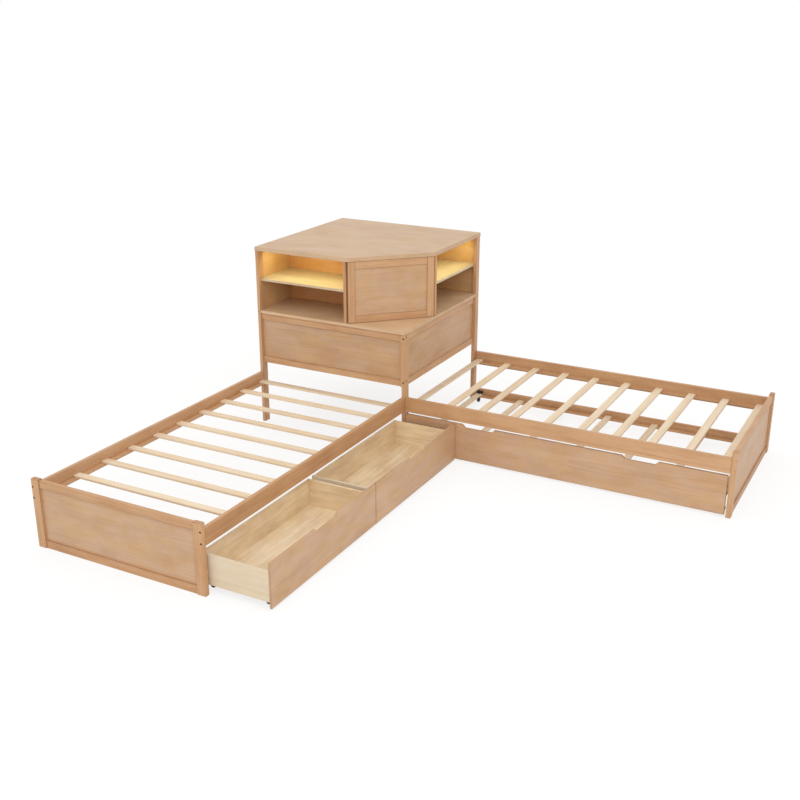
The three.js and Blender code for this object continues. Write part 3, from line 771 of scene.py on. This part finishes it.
def make_finishes():
    """The finishes by the record's slots, and the ones that only the dressed pieces have: lit and shaded
    copies of the slots' pine, with painted light and shade in their colours.
    """
    stain = pine_stain(pine_figure())
    made = {}
    frame_marks = dict(
        Ring_share=0.30, Streak_share=0.26, Blotch_share=0.26, Tone_share=0.20, End_share=0.35,
    )
    panel_marks = dict(
        Ring_share=0.17, Streak_share=0.13, Blotch_share=0.32, Tone_share=0.12, Hue_share=0.9,
        End_share=0.2, Ring_spacing=0.011, Wander=0.045, Knots=0.97,
    )
    veneer_marks = dict(panel_marks, Ring_share=0.10, Streak_share=0.11, Blotch_share=0.32, Hue_share=0.6)
    pale_marks = dict(
        Ring_share=0.28, Streak_share=0.22, Blotch_share=0.22, Tone_share=0.26, End_share=0.25, Gloss=0.55,
    )
    box_marks = dict(pale_marks, Ring_share=0.34, Streak_share=0.30, Blotch_share=0.62, Hue_share=0.4)
    stains = {  # early wood, late wood, and knots and deep painted shade, and the marks
        "frame_pine": ((207, 164, 122), (166, 113, 71), (112, 66, 38), frame_marks),
        "panel_pine": ((205, 169, 136), (168, 126, 92), (120, 76, 48), panel_marks),
        "pale_pine": ((238, 219, 192), (211, 179, 141), (150, 104, 66), pale_marks),
        # paler, less saturated copies of the frame's stain for the upward boards: painted light and sheen
        # from above
        "lit_top_pine": ((210, 179, 147), (176, 136, 102), (120, 76, 48), veneer_marks),
        "lit_deck_pine": ((219, 186, 151), (182, 139, 99), (120, 76, 48), veneer_marks),
        # warmer, more orange copies for the bays' backs and walls: painted warm lamp light and shade of the
        # bays
        "warm_lit_bay_pine": ((215, 160, 106), (174, 108, 63), (112, 66, 38), panel_marks),
        "warm_lit_back_pine": ((222, 182, 134), (187, 138, 92), (112, 66, 38), panel_marks),
        # a paler, cooler copy of the frame's stain for the shelves, which offsets the warm bay lamps: painted
        # light
        "lamp_offset_shelf_pine": ((212, 195, 166), (186, 157, 120), (130, 84, 50), frame_marks),
        # copies of the pale stain for the drawer boxes: darker and greyer on the outer side, painted shade;
        # brighter inside, painted light against their shade
        "shaded_drawer_pine": ((223, 207, 182), (200, 174, 139), (150, 104, 66), pale_marks),
        "lit_drawer_wall_pine": ((247, 230, 198), (213, 185, 148), (150, 104, 66), box_marks),
        "lit_drawer_floor_pine": ((246, 231, 203), (214, 184, 143), (160, 112, 72), box_marks),
    }
    for name, (early, late, knot, marks) in stains.items():
        made[name] = pine(name, stain, linear(*early), linear(*late), linear(*knot), **marks)

    plain = {  # features in a metre, detail, the two colours, the roughness's range, and how metallic
        "wheel": ((900.0, 900.0, 900.0), 3.0, (26, 26, 28), (40, 40, 42), (0.38, 0.6), 0.0),
        "hinge_steel": ((300.0, 300.0, 2400.0), 3.0, (184, 186, 190), (206, 208, 212), (0.22, 0.42), 1.0),
        "browned_steel": ((700.0, 700.0, 700.0), 2.0, (92, 62, 42), (122, 86, 58), (0.35, 0.55), 0.7),
    }
    for name, (*look, metallic) in plain.items():
        made[name], _, shader, _ = mottled(name, *look)
        shader.inputs["Metallic"].default_value = metallic

    cloud = (60.0, 60.0, 60.0)
    material, tree, shader, mask = mottled("light_diffuser", cloud, 1.0, (246, 236, 220), (252, 244, 230))
    glow = blended(tree, mask, linear(255, 208, 130), linear(255, 222, 156))
    tree.links.new(glow, shader.inputs["Emission Color"])
    shader.inputs["Emission Strength"].default_value = STRIP_GLOW
    made["light_diffuser"] = material
    return made


# Cabinet

def cabinet_posts():
    """The four uprights: screws into the deck and top, and the near one's bolts."""
    sideways, outwards = np.array([0.0, -1.0, 0.0]), np.array([1.0, 0.0, 0.0])
    deck_low, deck_high = cabinet.box("deck")
    underside = cabinet.box("cabinet_top")[0][2]
    levels = (underside - SCREW_FROM_TOP, (deck_low[2] + deck_high[2]) / 2)
    screws = []
    for name in ("left", "right", "back"):
        node = f"post_{name}"
        low, high = cabinet.box(node)
        post = board(low, high, 2, cabinet)
        if name == "left":
            post.shade_seams(SEAM_SHADE, cabinet, 0, 1)
            spots = [((low[0] + SCREW_INSET, low[1], z), sideways) for z in levels]
        else:
            post.shade_seams(SEAM_SHADE, cabinet, 1, -1)
            spots = [((high[0], high[1] - SCREW_INSET, z), outwards) for z in levels]
        if name != "back":
            screws += drilled(post, spots, cabinet, SCREW_BORE, SCREW_DEPTH)
        piece(node, [post], "frame_pine", node)
    heads_in("post_screws", screws, "post_left", SCREW_HEAD, SCREW_DEPTH, SCREW_SIDES)

    left_low, left_high = cabinet.box("post_left")
    low, high = cabinet.box("post_near")
    slim = high[0] - (left_high[0] - left_low[0])
    face_bottom = cabinet.box("face_left_bottom_rail")[0][2]
    corners = [
        (slim, low[2]), (high[0], low[2]), (high[0], high[2]), (low[0], high[2]),
        (low[0], face_bottom), (slim, face_bottom),
    ]
    outline = outline_of(corners, EASE * CORNER_SHARE)
    post = slab(outline, low[1], high[1], cabinet, (0, 2, 1), along=1)
    post.shade_seams(SEAM_SHADE, cabinet, 0, -1).shade_seams(SEAM_SHADE, cabinet, 1, 1)
    middle = (slim + high[0]) / 2
    spots = []
    for z in (deck_low[2] - POST_BOLT_FROM_DECK, face_bottom + POST_BOLT_FROM_FACE):
        spots.append(((middle, low[1], z), sideways))
        spots.append(((high[0], low[1] + POST_BOLT_INSET, z + POST_BOLT_STEP), outwards))
    holes = drilled(post, spots, cabinet, BORE, BORE_DEPTH)
    piece("post_near", [post], "frame_pine", "post_near")
    heads_in("post_near_bolts", holes, "post_near")


def drilled(wood, spots, place, diameter, depth):
    """Blind holes in a board, given in the assembly's axes. Gives them in the frame's."""
    holes = [(np.asarray(centre) @ place.axes + place.origin, way @ place.axes) for centre, way in spots]
    wood.drill(holes, diameter, depth)
    return holes


def heads_in(name, holes, node, profile=BOLT_PROFILE, depth=BORE_DEPTH, sides=BOLT_SIDES):
    """Round heads on the floors of their holes, each with a driver's socket."""
    heads = [turned(profile, centre - way * depth, way, sides=sides) for centre, way in holes]
    piece(name, heads, "hinge_steel", node, finish="browned_steel")


def grooved_rail(node, panel_node, place, along, groove_on_top):
    """A rail whose section has a groove for the panel, carried along the rail."""
    inward = 1 - along
    low, high = place.box(node)
    panel_low, panel_high = place.box(panel_node)
    p0, p1 = low[inward], high[inward]
    z0, z1 = low[2], high[2]
    g0, g1 = panel_low[inward] - SEAT, panel_high[inward] + SEAT
    if groove_on_top:
        floor = panel_low[2] - SEAT
        corners = [(p0, z0), (p1, z0), (p1, z1), (g1, z1), (g1, floor), (g0, floor), (g0, z1), (p0, z1)]
        small = (3, 4, 5, 6)
    else:
        roof = panel_high[2] + SEAT
        corners = [(p0, z0), (g0, z0), (g0, roof), (g1, roof), (g1, z0), (p1, z0), (p1, z1), (p0, z1)]
        small = (1, 2, 3, 4)
    radii = [GROOVE_EDGE if number in small else EASE for number in range(len(corners))]
    order = (inward, 2, along)
    rail = slab(outline_of(corners, radii), low[along], high[along], place, order, GROOVED_EASE, 2)
    for end in (1,) if groove_on_top else (-1, 1):  # the bottom rail's lower edge is free
        rail.shade_seams(SEAM_SHADE, place, 2, end)
    piece(node, [rail], "frame_pine", node)


def cabinet_faces():
    """Under the deck on both outer faces: two grooved rails and the panel between them."""
    for side, along in (("left", 0), ("right", 1)):
        panel = f"face_{side}_panel"
        grooved_rail(f"face_{side}_top_rail", panel, cabinet, along, False)
        grooved_rail(f"face_{side}_bottom_rail", panel, cabinet, along, True)
        box_board(panel, along, cabinet, "panel_pine", pith=VENEER)


def cabinet_backs():
    """The two outer walls at the back, each a plain board."""
    for node, along in (("back_panel_left", 1), ("back_panel_right", 0)):
        # a warmer copy of the panel stain: painted warm light of the bay lamps
        box_board(node, along, cabinet, "panel_pine", "warm_lit_back_pine", pith=VENEER)


def past_posts(low, high, posts):
    """A rectangle's outline with a notch at each corner where a post passes."""
    corners = []
    for name, (x, y) in zip(("left", "near", "right", "back"), ((0, 0), (1, 0), (1, 1), (0, 1))):
        corner = np.array([(low[0], high[0])[x], (low[1], high[1])[y]])
        if name not in posts:
            corners.append(corner)
            continue
        post_low, post_high = cabinet.box(f"post_{name}")
        inner_x = post_high[0] + SEAT if x == 0 else post_low[0] - SEAT
        inner_y = post_high[1] + SEAT if y == 0 else post_low[1] - SEAT
        notch = [(corner[0], inner_y), (inner_x, inner_y), (inner_x, corner[1])]
        corners += notch if x == y else notch[::-1]
    return outline_of(corners, EASE * CORNER_SHARE)


def cabinet_deck():
    """The floor under the bays, with a notch at each tall post."""
    low, high = cabinet.box("deck")
    outline = past_posts(low, high, ("left", "right", "back"))
    floor = slab(outline, low[2], high[2], cabinet, pith=VENEER).shade_seams(SEAM_SHADE, cabinet, 2, -1)
    # a paler copy of the frame's stain: painted light from above
    piece("deck", [floor], "frame_pine", "deck", finish="lit_deck_pine")


def cabinet_top():
    """The top board, a square whose inner corner is cut off along the door.

    Along the cut, x - y is what it is on the door's face, plus the overhang.
    """
    low, high = cabinet.box("cabinet_top")
    overhang = cabinet.box("post_left")[0][0] - low[0]
    door_line = -door_place.box("door_frame")[0][1] * math.sqrt(2) + overhang
    corners = [
        (low[0], low[1]), (low[1] + door_line, low[1]), (high[0], high[0] - door_line),
        (high[0], high[1]), (low[0], high[1]),
    ]
    outline = outline_of(corners, TOP_CORNER)
    top = slab(outline, low[2], high[2], cabinet, ease=TOP_EASE, pith=VENEER)
    # a paler copy of the frame's stain: painted light and sheen from above
    piece("cabinet_top", [top], "frame_pine", "cabinet_top", finish="lit_top_pine")


def cabinet_bays():
    """Each bay's divider, back, shelf and light."""
    for side, along in (("left", 0), ("right", 1)):
        box_board(f"divider_{side}", 2, cabinet, "frame_pine")
        # the bay backs: a warmer copy of the panel stain, painted warm lamp light
        box_board(f"shelf_back_{side}", along, cabinet, "panel_pine", "warm_lit_bay_pine", pith=VENEER)
        shelf = f"shelf_{side}"
        low, high = cabinet.box(shelf)
        outline = past_posts(low, high, (side,))
        plank = slab(outline, low[2], high[2], cabinet, along=along)
        # a paler, cooler copy of the frame's stain that offsets the warm lamp: painted light
        piece(shelf, [plank], "frame_pine", shelf, finish="lamp_offset_shelf_pine")

        node = f"light_strip_{side}"
        low, high = cabinet.box(node)
        order = [1 - along, 2, along]
        low, high = low[order], high[order]
        lower = (high[1] - low[1]) * STRIP_ROUND
        section = rectangle(low[:2], high[:2], [lower, lower, EASE, EASE])
        strip = slab(section, low[2], high[2], cabinet, order, GROOVE_EDGE, 2)
        piece(node, [strip], "light_diffuser", node)


# Door

def corner_door():
    """Two stiles and two rails round an inset panel."""
    (x0, y0, z0), (x1, y1, z1) = door_place.box("door_frame")
    width = DOOR_MEMBER
    members = [  # corners, the grain's axis, and the axis and side of the edges beside the panel
        ((x0, y0, z0), (x0 + width, y1, z1), 2, 0, 1),
        ((x1 - width, y0, z0), (x1, y1, z1), 2, 0, -1),
        ((x0 + width, y0, z0), (x1 - width, y1, z0 + width), 0, 2, 1),
        ((x0 + width, y0, z1 - width), (x1 - width, y1, z1), 0, 2, -1),
    ]
    parts = [
        board(low, high, along, door_place).shade_seams(SEAM_SHADE, door_place, axis, side)
        for low, high, along, axis, side in members
    ]
    piece("door_frame", parts, "frame_pine", "door_frame")
    box_board("door_panel", 0, door_place, "panel_pine", pith=VENEER)
    for level in ("upper", "lower"):
        door_hinge(level)


def door_hinge(level):
    """A concealed hinge: a plate on the divider, an arm that bends round to the door, a cup in it."""
    node = f"hinge_{level}"
    low, high = cabinet.box(node)
    middle = (low[2] + high[2]) / 2
    half = (high[2] - low[2]) / 2
    face = cabinet.box("divider_right")[0][1] - SEAT
    length, thickness = HINGE_PLATE
    near, far = high[0] - length, high[0]
    plate = board((near, face - thickness, middle - half), (far, face, middle + half), 0, cabinet, PLATE_EASE)
    base = face - thickness - SEAT
    corners = [(low[0] + x, low[1] + y) for x, y in ARM_TIP[::-1]] + [
        (near + ARM_CREST[0], face - ARM_CREST[1]), (far - ARM_FOOT[1], face - ARM_HEEL),
        (far - ARM_FOOT[1], base), (near + ARM_FOOT[0], base),
    ]
    reach = half * ARM_HEIGHT
    arm = slab(outline_of(corners, ARM_CORNER), middle - reach, middle + reach, cabinet, ease=ARM_EASE)
    heads = []
    for share in PLATE_SCREWS:
        spot = np.array([near + length * share, face - ARM_CREST[1], middle]) @ cabinet.axes + cabinet.origin
        heads.append(turned(SCREW_HEAD, spot, -cabinet.axes[1], sides=SCREW_SIDES))
    piece(node, [plate, arm] + heads, "hinge_steel", node)

    edge = door_place.box("door_frame")[1]
    centre = np.array([edge[0] - CUP_FROM_EDGE, edge[1] + CUP_GAP, middle])
    cup = turned(CUP_PROFILE, centre @ door_place.axes + door_place.origin, door_place.axes[1])
    *half_flange, thickness = CUP_FLANGE
    outline = rectangle(centre[[0, 2]] - half_flange, centre[[0, 2]] + half_flange, FLANGE_CORNER)
    flange = slab(outline, centre[1], centre[1] + thickness, door_place, (0, 2, 1), FLANGE_EASE)
    piece(f"hinge_cup_{level}", [cup, flange], "hinge_steel", "door_frame")


# Beds

def bed(side, place):
    """Side rails, slats on their cleats, and the footboard of one bed."""
    for end in ("near", "far"):
        box_board(f"bed_{side}_rail_{end}", 0, place, "frame_pine")
    bed_slats(side, place)
    footboard(side, place)


def bed_slats(side, place):
    """A cleat along each side rail, and slats at even steps from the cabinet to the footboard."""
    node = f"bed_{side}_slat_deck"
    low, high = place.box(node)
    cleats = []
    for y in (low[1], high[1] - CLEAT_WIDTH):
        ends = ((low[0], y, low[2]), (high[0], y + CLEAT_WIDTH, low[2] + CLEAT_HEIGHT))
        cleats.append(board(*ends, 0, place))
    piece(f"bed_{side}_cleats", cleats, "frame_pine", node)

    foot = high[0] + SEAT
    middles = np.linspace(FIRST_SLAT, foot - LAST_SLAT, SLAT_COUNT)
    slats = []
    for middle in middles:
        start = (middle - SLAT_WIDTH / 2, low[1], high[2] - SLAT_THICKNESS)
        stop = (middle + SLAT_WIDTH / 2, high[1], high[2])
        slats.append(board(start, stop, 1, place, ease=SLAT_EASE))
    piece(f"bed_{side}_slats", slats, "pale_pine", node)


def footboard(side, place):
    """Stiles with bolted counterbores, a top and a bottom rail, and the panel."""
    node = f"footboard_{side}_frame"
    low, high = place.box(node)
    inner, outer = low[0], high[0]
    rail_out = outer - FOOT_RAIL_RECESS
    width = high[1]
    rail_low, rail_high = place.box(f"bed_{side}_rail_near")
    stiles = []
    bolts = []
    for y0, bolt_y in ((0.0, BOLT_INSET), (width - STILE_WIDTH, width - BOLT_INSET)):
        stile = board((inner, y0, 0.0), (outer, y0 + STILE_WIDTH, high[2]), 2, place, ease=STILE_EASE)
        stile.shade_seams(SEAM_SHADE, place, 1, 1 if y0 == 0 else -1)
        levels = (rail_high[2] - BOLT_FROM_RAIL_TOP, rail_low[2] + BOLT_FROM_RAIL_BOTTOM)
        spots = [((outer, bolt_y, z), np.array([1.0, 0.0, 0.0])) for z in levels]
        bolts += drilled(stile, spots, place, BORE, BORE_DEPTH)
        stiles.append(stile)
    rails = []
    heights = (0.0, FOOT_BOTTOM_RAIL), (FOOT_RAIL_TOP - FOOT_RAIL_HEIGHT, FOOT_RAIL_TOP)
    for (bottom, top), towards_panel in zip(heights, (1, -1)):
        ends = ((inner, STILE_WIDTH, bottom), (rail_out, width - STILE_WIDTH, top))
        rails.append(board(*ends, 1, place).shade_seams(SEAM_SHADE, place, 2, towards_panel))
    piece(node, stiles + rails, "frame_pine", node)
    heads_in(f"footboard_{side}_bolts", bolts, node)
    box_board(f"footboard_{side}_panel", 1, place, "panel_pine", pith=VENEER)


# Drawers and trundle

def front_outline(start, stop, bottom, top, middles):
    """A front's outline with hand cut-outs in its upper edge, from its far end back."""
    corners = [(start, bottom), (stop, bottom), (stop, top)]
    radii = [EASE * CORNER_SHARE] * 3
    for middle in sorted(middles, reverse=True):
        corners += [
            (middle + CUTOUT_TOP / 2, top), (middle + CUTOUT_BOTTOM / 2, top - CUTOUT_DEPTH),
            (middle - CUTOUT_BOTTOM / 2, top - CUTOUT_DEPTH), (middle - CUTOUT_TOP / 2, top),
        ]
        radii += [CUTOUT_EDGE] * 4
    return outline_of(corners + [(start, top)], radii + [EASE * CORNER_SHARE])


def drawer(name):
    """Front, two sides, back, bottom and four casters."""
    node = f"{name}_front"
    low, high = cabinet.box(node)
    middle = (low[1] + high[1]) / 2
    outline = front_outline(low[1], high[1], low[2], high[2], [middle])
    front = slab(outline, low[0], high[0], cabinet, (1, 2, 0), along=0, pith=VENEER)
    front.shade_seams(SEAM_SHADE, cabinet, 1, 1).shade_seams(SEAM_SHADE, cabinet, 2, -1)
    if name == "drawer_head":
        front.shade_seams(SEAM_SHADE, cabinet, 1, -1)
    piece(node, [front], "panel_pine", node)
    # the outer side in a darker copy of the pale stain, painted shade; the inner walls in a brighter one,
    # painted light
    walls = (
        ("side_foot", 0, "shaded_drawer_pine"), ("side_head", 0, "lit_drawer_wall_pine"),
        ("back", 1, "lit_drawer_wall_pine"),
    )
    for wall, along, finish in walls:
        box_board(f"{name}_{wall}", along, cabinet, "pale_pine", finish, ease=WALL_EASE)
    node = f"{name}_bottom"
    low, high = cabinet.box(node)
    floor_low = cabinet.box(f"{name}_back")[0][2] + DRAWER_FLOOR_RISE
    plate = board((low[0], low[1], floor_low), high, 1, cabinet, ease=FLOOR_EASE, pith=VENEER)
    # a brighter copy of the pale stain for the floor: painted light against the drawer's shade
    piece(node, [plate], "pale_pine", node, finish="lit_drawer_floor_pine")
    forks = []
    for row in ("front", "back"):
        for end in ("foot", "head"):
            wheel = f"{name}_wheel_{row}_{end}"
            forks += caster(wheel, cabinet, 1, floor_low)
    piece(f"{name}_forks", forks, "wheel", node)


def caster(node, place, axle, ceiling):
    """A wheel with a moulded tread, and the fork that holds it under the height ceiling."""
    low, high = place.box(node)
    middle = (low + high) / 2
    half = (high[axle] - low[axle]) / 2
    radius = (high[2] - low[2]) / 2
    profile = [(radius * r, half * h) for r, h in WHEEL_SIDE]
    profile += [(r, -h) for r, h in profile[::-1]]
    profile.append(profile[0])
    centre = middle @ place.axes + place.origin
    piece(node, [turned(profile, centre, place.axes[axle], sides=WHEEL_SIDES)], "wheel", node)

    run = 1 - axle
    spot, foot = middle[run], middle[2]
    roof = ceiling - PLATE_THICKNESS
    corners = [
        (spot - FORK_FOOT, foot - FORK_FOOT), (spot + FORK_FOOT, foot - FORK_FOOT),
        (spot + FORK_FOOT, foot + FORK_FOOT), (spot + FORK_HALF, roof), (spot - FORK_HALF, roof),
        (spot - FORK_FOOT, foot + FORK_FOOT),
    ]
    lower = FORK_FOOT * FORK_ROUND
    cheek = outline_of(corners, [lower, lower, CHEEK_WAIST, CHEEK_CORNER, CHEEK_CORNER, CHEEK_WAIST])
    parts = []
    for sign in (-1, 1):
        near = middle[axle] + sign * (half + FORK_GAP)
        far = near + sign * FORK_WALL
        parts.append(slab(cheek, min(near, far), max(near, far), place, (run, 2, axle), CHEEK_EASE))
    outer = half + FORK_GAP + FORK_WALL
    floor = min(2 * radius + CROWN_GAP, roof - CROWN_LEAST)
    for bottom, top, run_reach, axle_reach, ease in (
        (floor, roof, FORK_HALF, outer, CROWN_EASE), (roof, ceiling, *PLATE_HALF, CHEEK_EASE),
    ):
        start, stop = np.array([middle, middle])
        start[[run, axle, 2]] = spot - run_reach, middle[axle] - axle_reach, bottom
        stop[[run, axle, 2]] = spot + run_reach, middle[axle] + axle_reach, top
        parts.append(board(start, stop, run, place, ease=ease))
    pin = outer + AXLE_REACH
    drawn_in, bevel = AXLE_BEVEL
    ends = [(AXLE_RADIUS - drawn_in, -pin), (AXLE_RADIUS, bevel - pin)]
    pin_profile = ends + [(r, -h) for r, h in ends[::-1]]
    parts.append(turned(pin_profile, centre, place.axes[axle], sides=SCREW_SIDES))
    return parts


def trundle():
    """The front, the stained frame, the pale slats and the casters."""
    low, high = right_bed.box("trundle_front")
    middle = (low[0] + high[0]) / 2
    middles = [middle - TRUNDLE_CUTOUT_OFFSET, middle + TRUNDLE_CUTOUT_OFFSET]
    outline = front_outline(low[0], high[0], low[2], high[2], middles)
    front = slab(outline, low[1], high[1], right_bed, (0, 2, 1), along=0, pith=VENEER)
    front.shade_seams(SEAM_SHADE, right_bed, 2, -1)
    piece("trundle_front", [front], "panel_pine", "trundle_front")

    node = "trundle_frame"
    low, high = right_bed.box(node)
    x0, x1 = low[0], high[0]
    near, far = low[1], high[1]
    rail = TRUNDLE_RAIL
    bottom, top = TRUNDLE_RAIL_BOTTOM, high[2]
    cleat_top = TRUNDLE_SLAT_TOP - SLAT_THICKNESS + SLAT_HOUSING
    cleat = (cleat_top - CLEAT_HEIGHT, cleat_top)
    rails = [
        board((x0, far - rail, bottom), (x1, far, top), 0, right_bed),
        board((x0, near, cleat[0]), (x1, near + CLEAT_WIDTH, cleat[1]), 0, right_bed),
        board((x0, far - rail - CLEAT_WIDTH, cleat[0]), (x1, far - rail, cleat[1]), 0, right_bed),
    ]
    piece("trundle_rails", rails, "frame_pine", node)

    last = x1 - TRUNDLE_LAST_SLAT - TRUNDLE_SLAT_WIDTH
    starts = np.linspace(x0 + TRUNDLE_FIRST_SLAT, last, TRUNDLE_SLAT_COUNT)
    slats = [
        board((start, near, TRUNDLE_SLAT_TOP - SLAT_THICKNESS),
              (start + TRUNDLE_SLAT_WIDTH, far - rail, TRUNDLE_SLAT_TOP), 1, right_bed, ease=SLAT_EASE)
        for start in starts
    ]
    piece("trundle_slats", slats, "pale_pine", node)

    block_low = np.array([x0 + BLOCK_FROM_END, far - rail - BLOCK_SIZE[1], TRUNDLE_SLAT_TOP + SEAT])
    block = board(block_low, block_low + BLOCK_SIZE, 0, right_bed, ease=BLOCK_EASE)
    piece("trundle_corner_block", [block], "wheel", node)

    forks = []
    for row in ("front", "back"):
        for end in ("head", "foot"):
            forks += caster(f"trundle_wheel_{row}_{end}", right_bed, 0, cleat[0])
    piece("trundle_forks", forks, "wheel", node)


# Studio

def make_camera():
    """The photograph's camera: turned by its yaw, and tipped by its pitch."""
    camera = bpy.data.cameras.new("camera")
    camera.lens = CAMERA_LENS
    camera.sensor_width = CAMERA_SENSOR
    camera.clip_start, camera.clip_end = CAMERA_CLIP
    seen = in_scene("camera", camera)
    seen.location = CAMERA_PLACE
    seen.rotation_euler = (math.pi / 2 + CAMERA_PITCH, 0.0, CAMERA_YAW)
    bpy.context.scene.camera = seen


def seen_plainly(tree):
    """1 for the rays that show the backdrop: the camera's own, and those of gloss and glass."""
    path = put(tree, "ShaderNodeLightPath").outputs
    seen = reckon(tree, "MAXIMUM", path["Is Camera Ray"], path["Is Glossy Ray"])
    return reckon(tree, "MAXIMUM", seen, path["Is Transmission Ray"])


def make_world():
    """Soft white light from all round, and plain white where the camera sees past the floor."""
    world = bpy.data.worlds.new("studio")
    bpy.context.scene.world = world
    world.use_nodes = True
    tree = world.node_tree
    tree.nodes.clear()
    soft = put(tree, "ShaderNodeBackground", ("Color", WHITE), ("Strength", WORLD_LIGHT))
    white = put(tree, "ShaderNodeBackground", ("Color", WHITE), ("Strength", 1.0))
    mixed = put(tree, "ShaderNodeMixShader", (0, seen_plainly(tree)), (1, soft.outputs[0]),
                (2, white.outputs[0]))
    put(tree, "ShaderNodeOutputWorld", ("Surface", mixed.outputs[0]))


def make_floor():
    """A wide pale floor, a little brighter to the camera so that it meets the backdrop."""
    mesh = bpy.data.meshes.new("floor")
    corners = np.array([(-1, -1, 0), (1, -1, 0), (1, 1, 0), (-1, 1, 0)]) * FLOOR_REACH
    mesh.from_pydata(corners.tolist(), [], [(0, 1, 2, 3)])
    floor = in_scene("floor", mesh)
    material, tree, shader = material_with("floor")
    shader.inputs["Roughness"].default_value = FLOOR_ROUGHNESS
    shader.inputs["Specular IOR Level"].default_value = 0.0
    seen = seen_plainly(tree)
    pale = blended(tree, seen, FLOOR_PAINT, FLOOR_SEEN)
    tree.links.new(pale, shader.inputs["Base Color"])
    lift = reckon(tree, "MULTIPLY", seen, FLOOR_LIFT)
    shader.inputs["Emission Color"].default_value = WHITE
    tree.links.new(lift, shader.inputs["Emission Strength"])
    mesh.materials.append(material)


def make_lamps():
    """One large soft lamp above and in front, and a warm one under the top of each bay."""
    lamp = bpy.data.lights.new("soft_box", "AREA")
    lamp.shape = "DISK"
    lamp.size = KEY_SIZE
    lamp.energy = KEY_POWER
    key = in_scene("soft_box", lamp)
    key.location = KEY_PLACE
    key.rotation_euler = (Vector(KEY_AIM) - key.location).to_track_quat("-Z", "Y").to_euler()
    for side, along in (("left", 0), ("right", 1)):
        low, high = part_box(f"light_strip_{side}")
        lamp = bpy.data.lights.new(f"bay_{side}", "AREA")
        lamp.shape = "RECTANGLE"
        lamp.size = high[along] - low[along]
        lamp.size_y = high[1 - along] - low[1 - along]
        lamp.color = BAY_LIGHT
        lamp.energy = BAY_POWER[side]
        glow = in_scene(f"bay_{side}", lamp)
        glow.location = ((low[0] + high[0]) / 2, (low[1] + high[1]) / 2, low[2] - BAY_DROP)
        glow.rotation_euler = (BAY_TILT, 0.0, along * math.pi / 2)


bpy.context.scene.view_settings.view_transform = "Standard"
cabinet = Place(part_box("post_left")[0])
door_place = Place(cabinet.origin, math.pi / 4)
left_bed = Place(cabinet.origin, -math.pi / 2)
right_bed = Place((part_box("post_near")[1][0], cabinet.origin[1]))
finishes = make_finishes()

make_camera()
cabinet_posts()
cabinet_faces()
cabinet_backs()
cabinet_deck()
cabinet_top()
cabinet_bays()
corner_door()
bed("left", left_bed)
bed("right", right_bed)
drawer("drawer_head")
drawer("drawer_foot")
trundle()
make_world()
make_floor()
make_lamps()
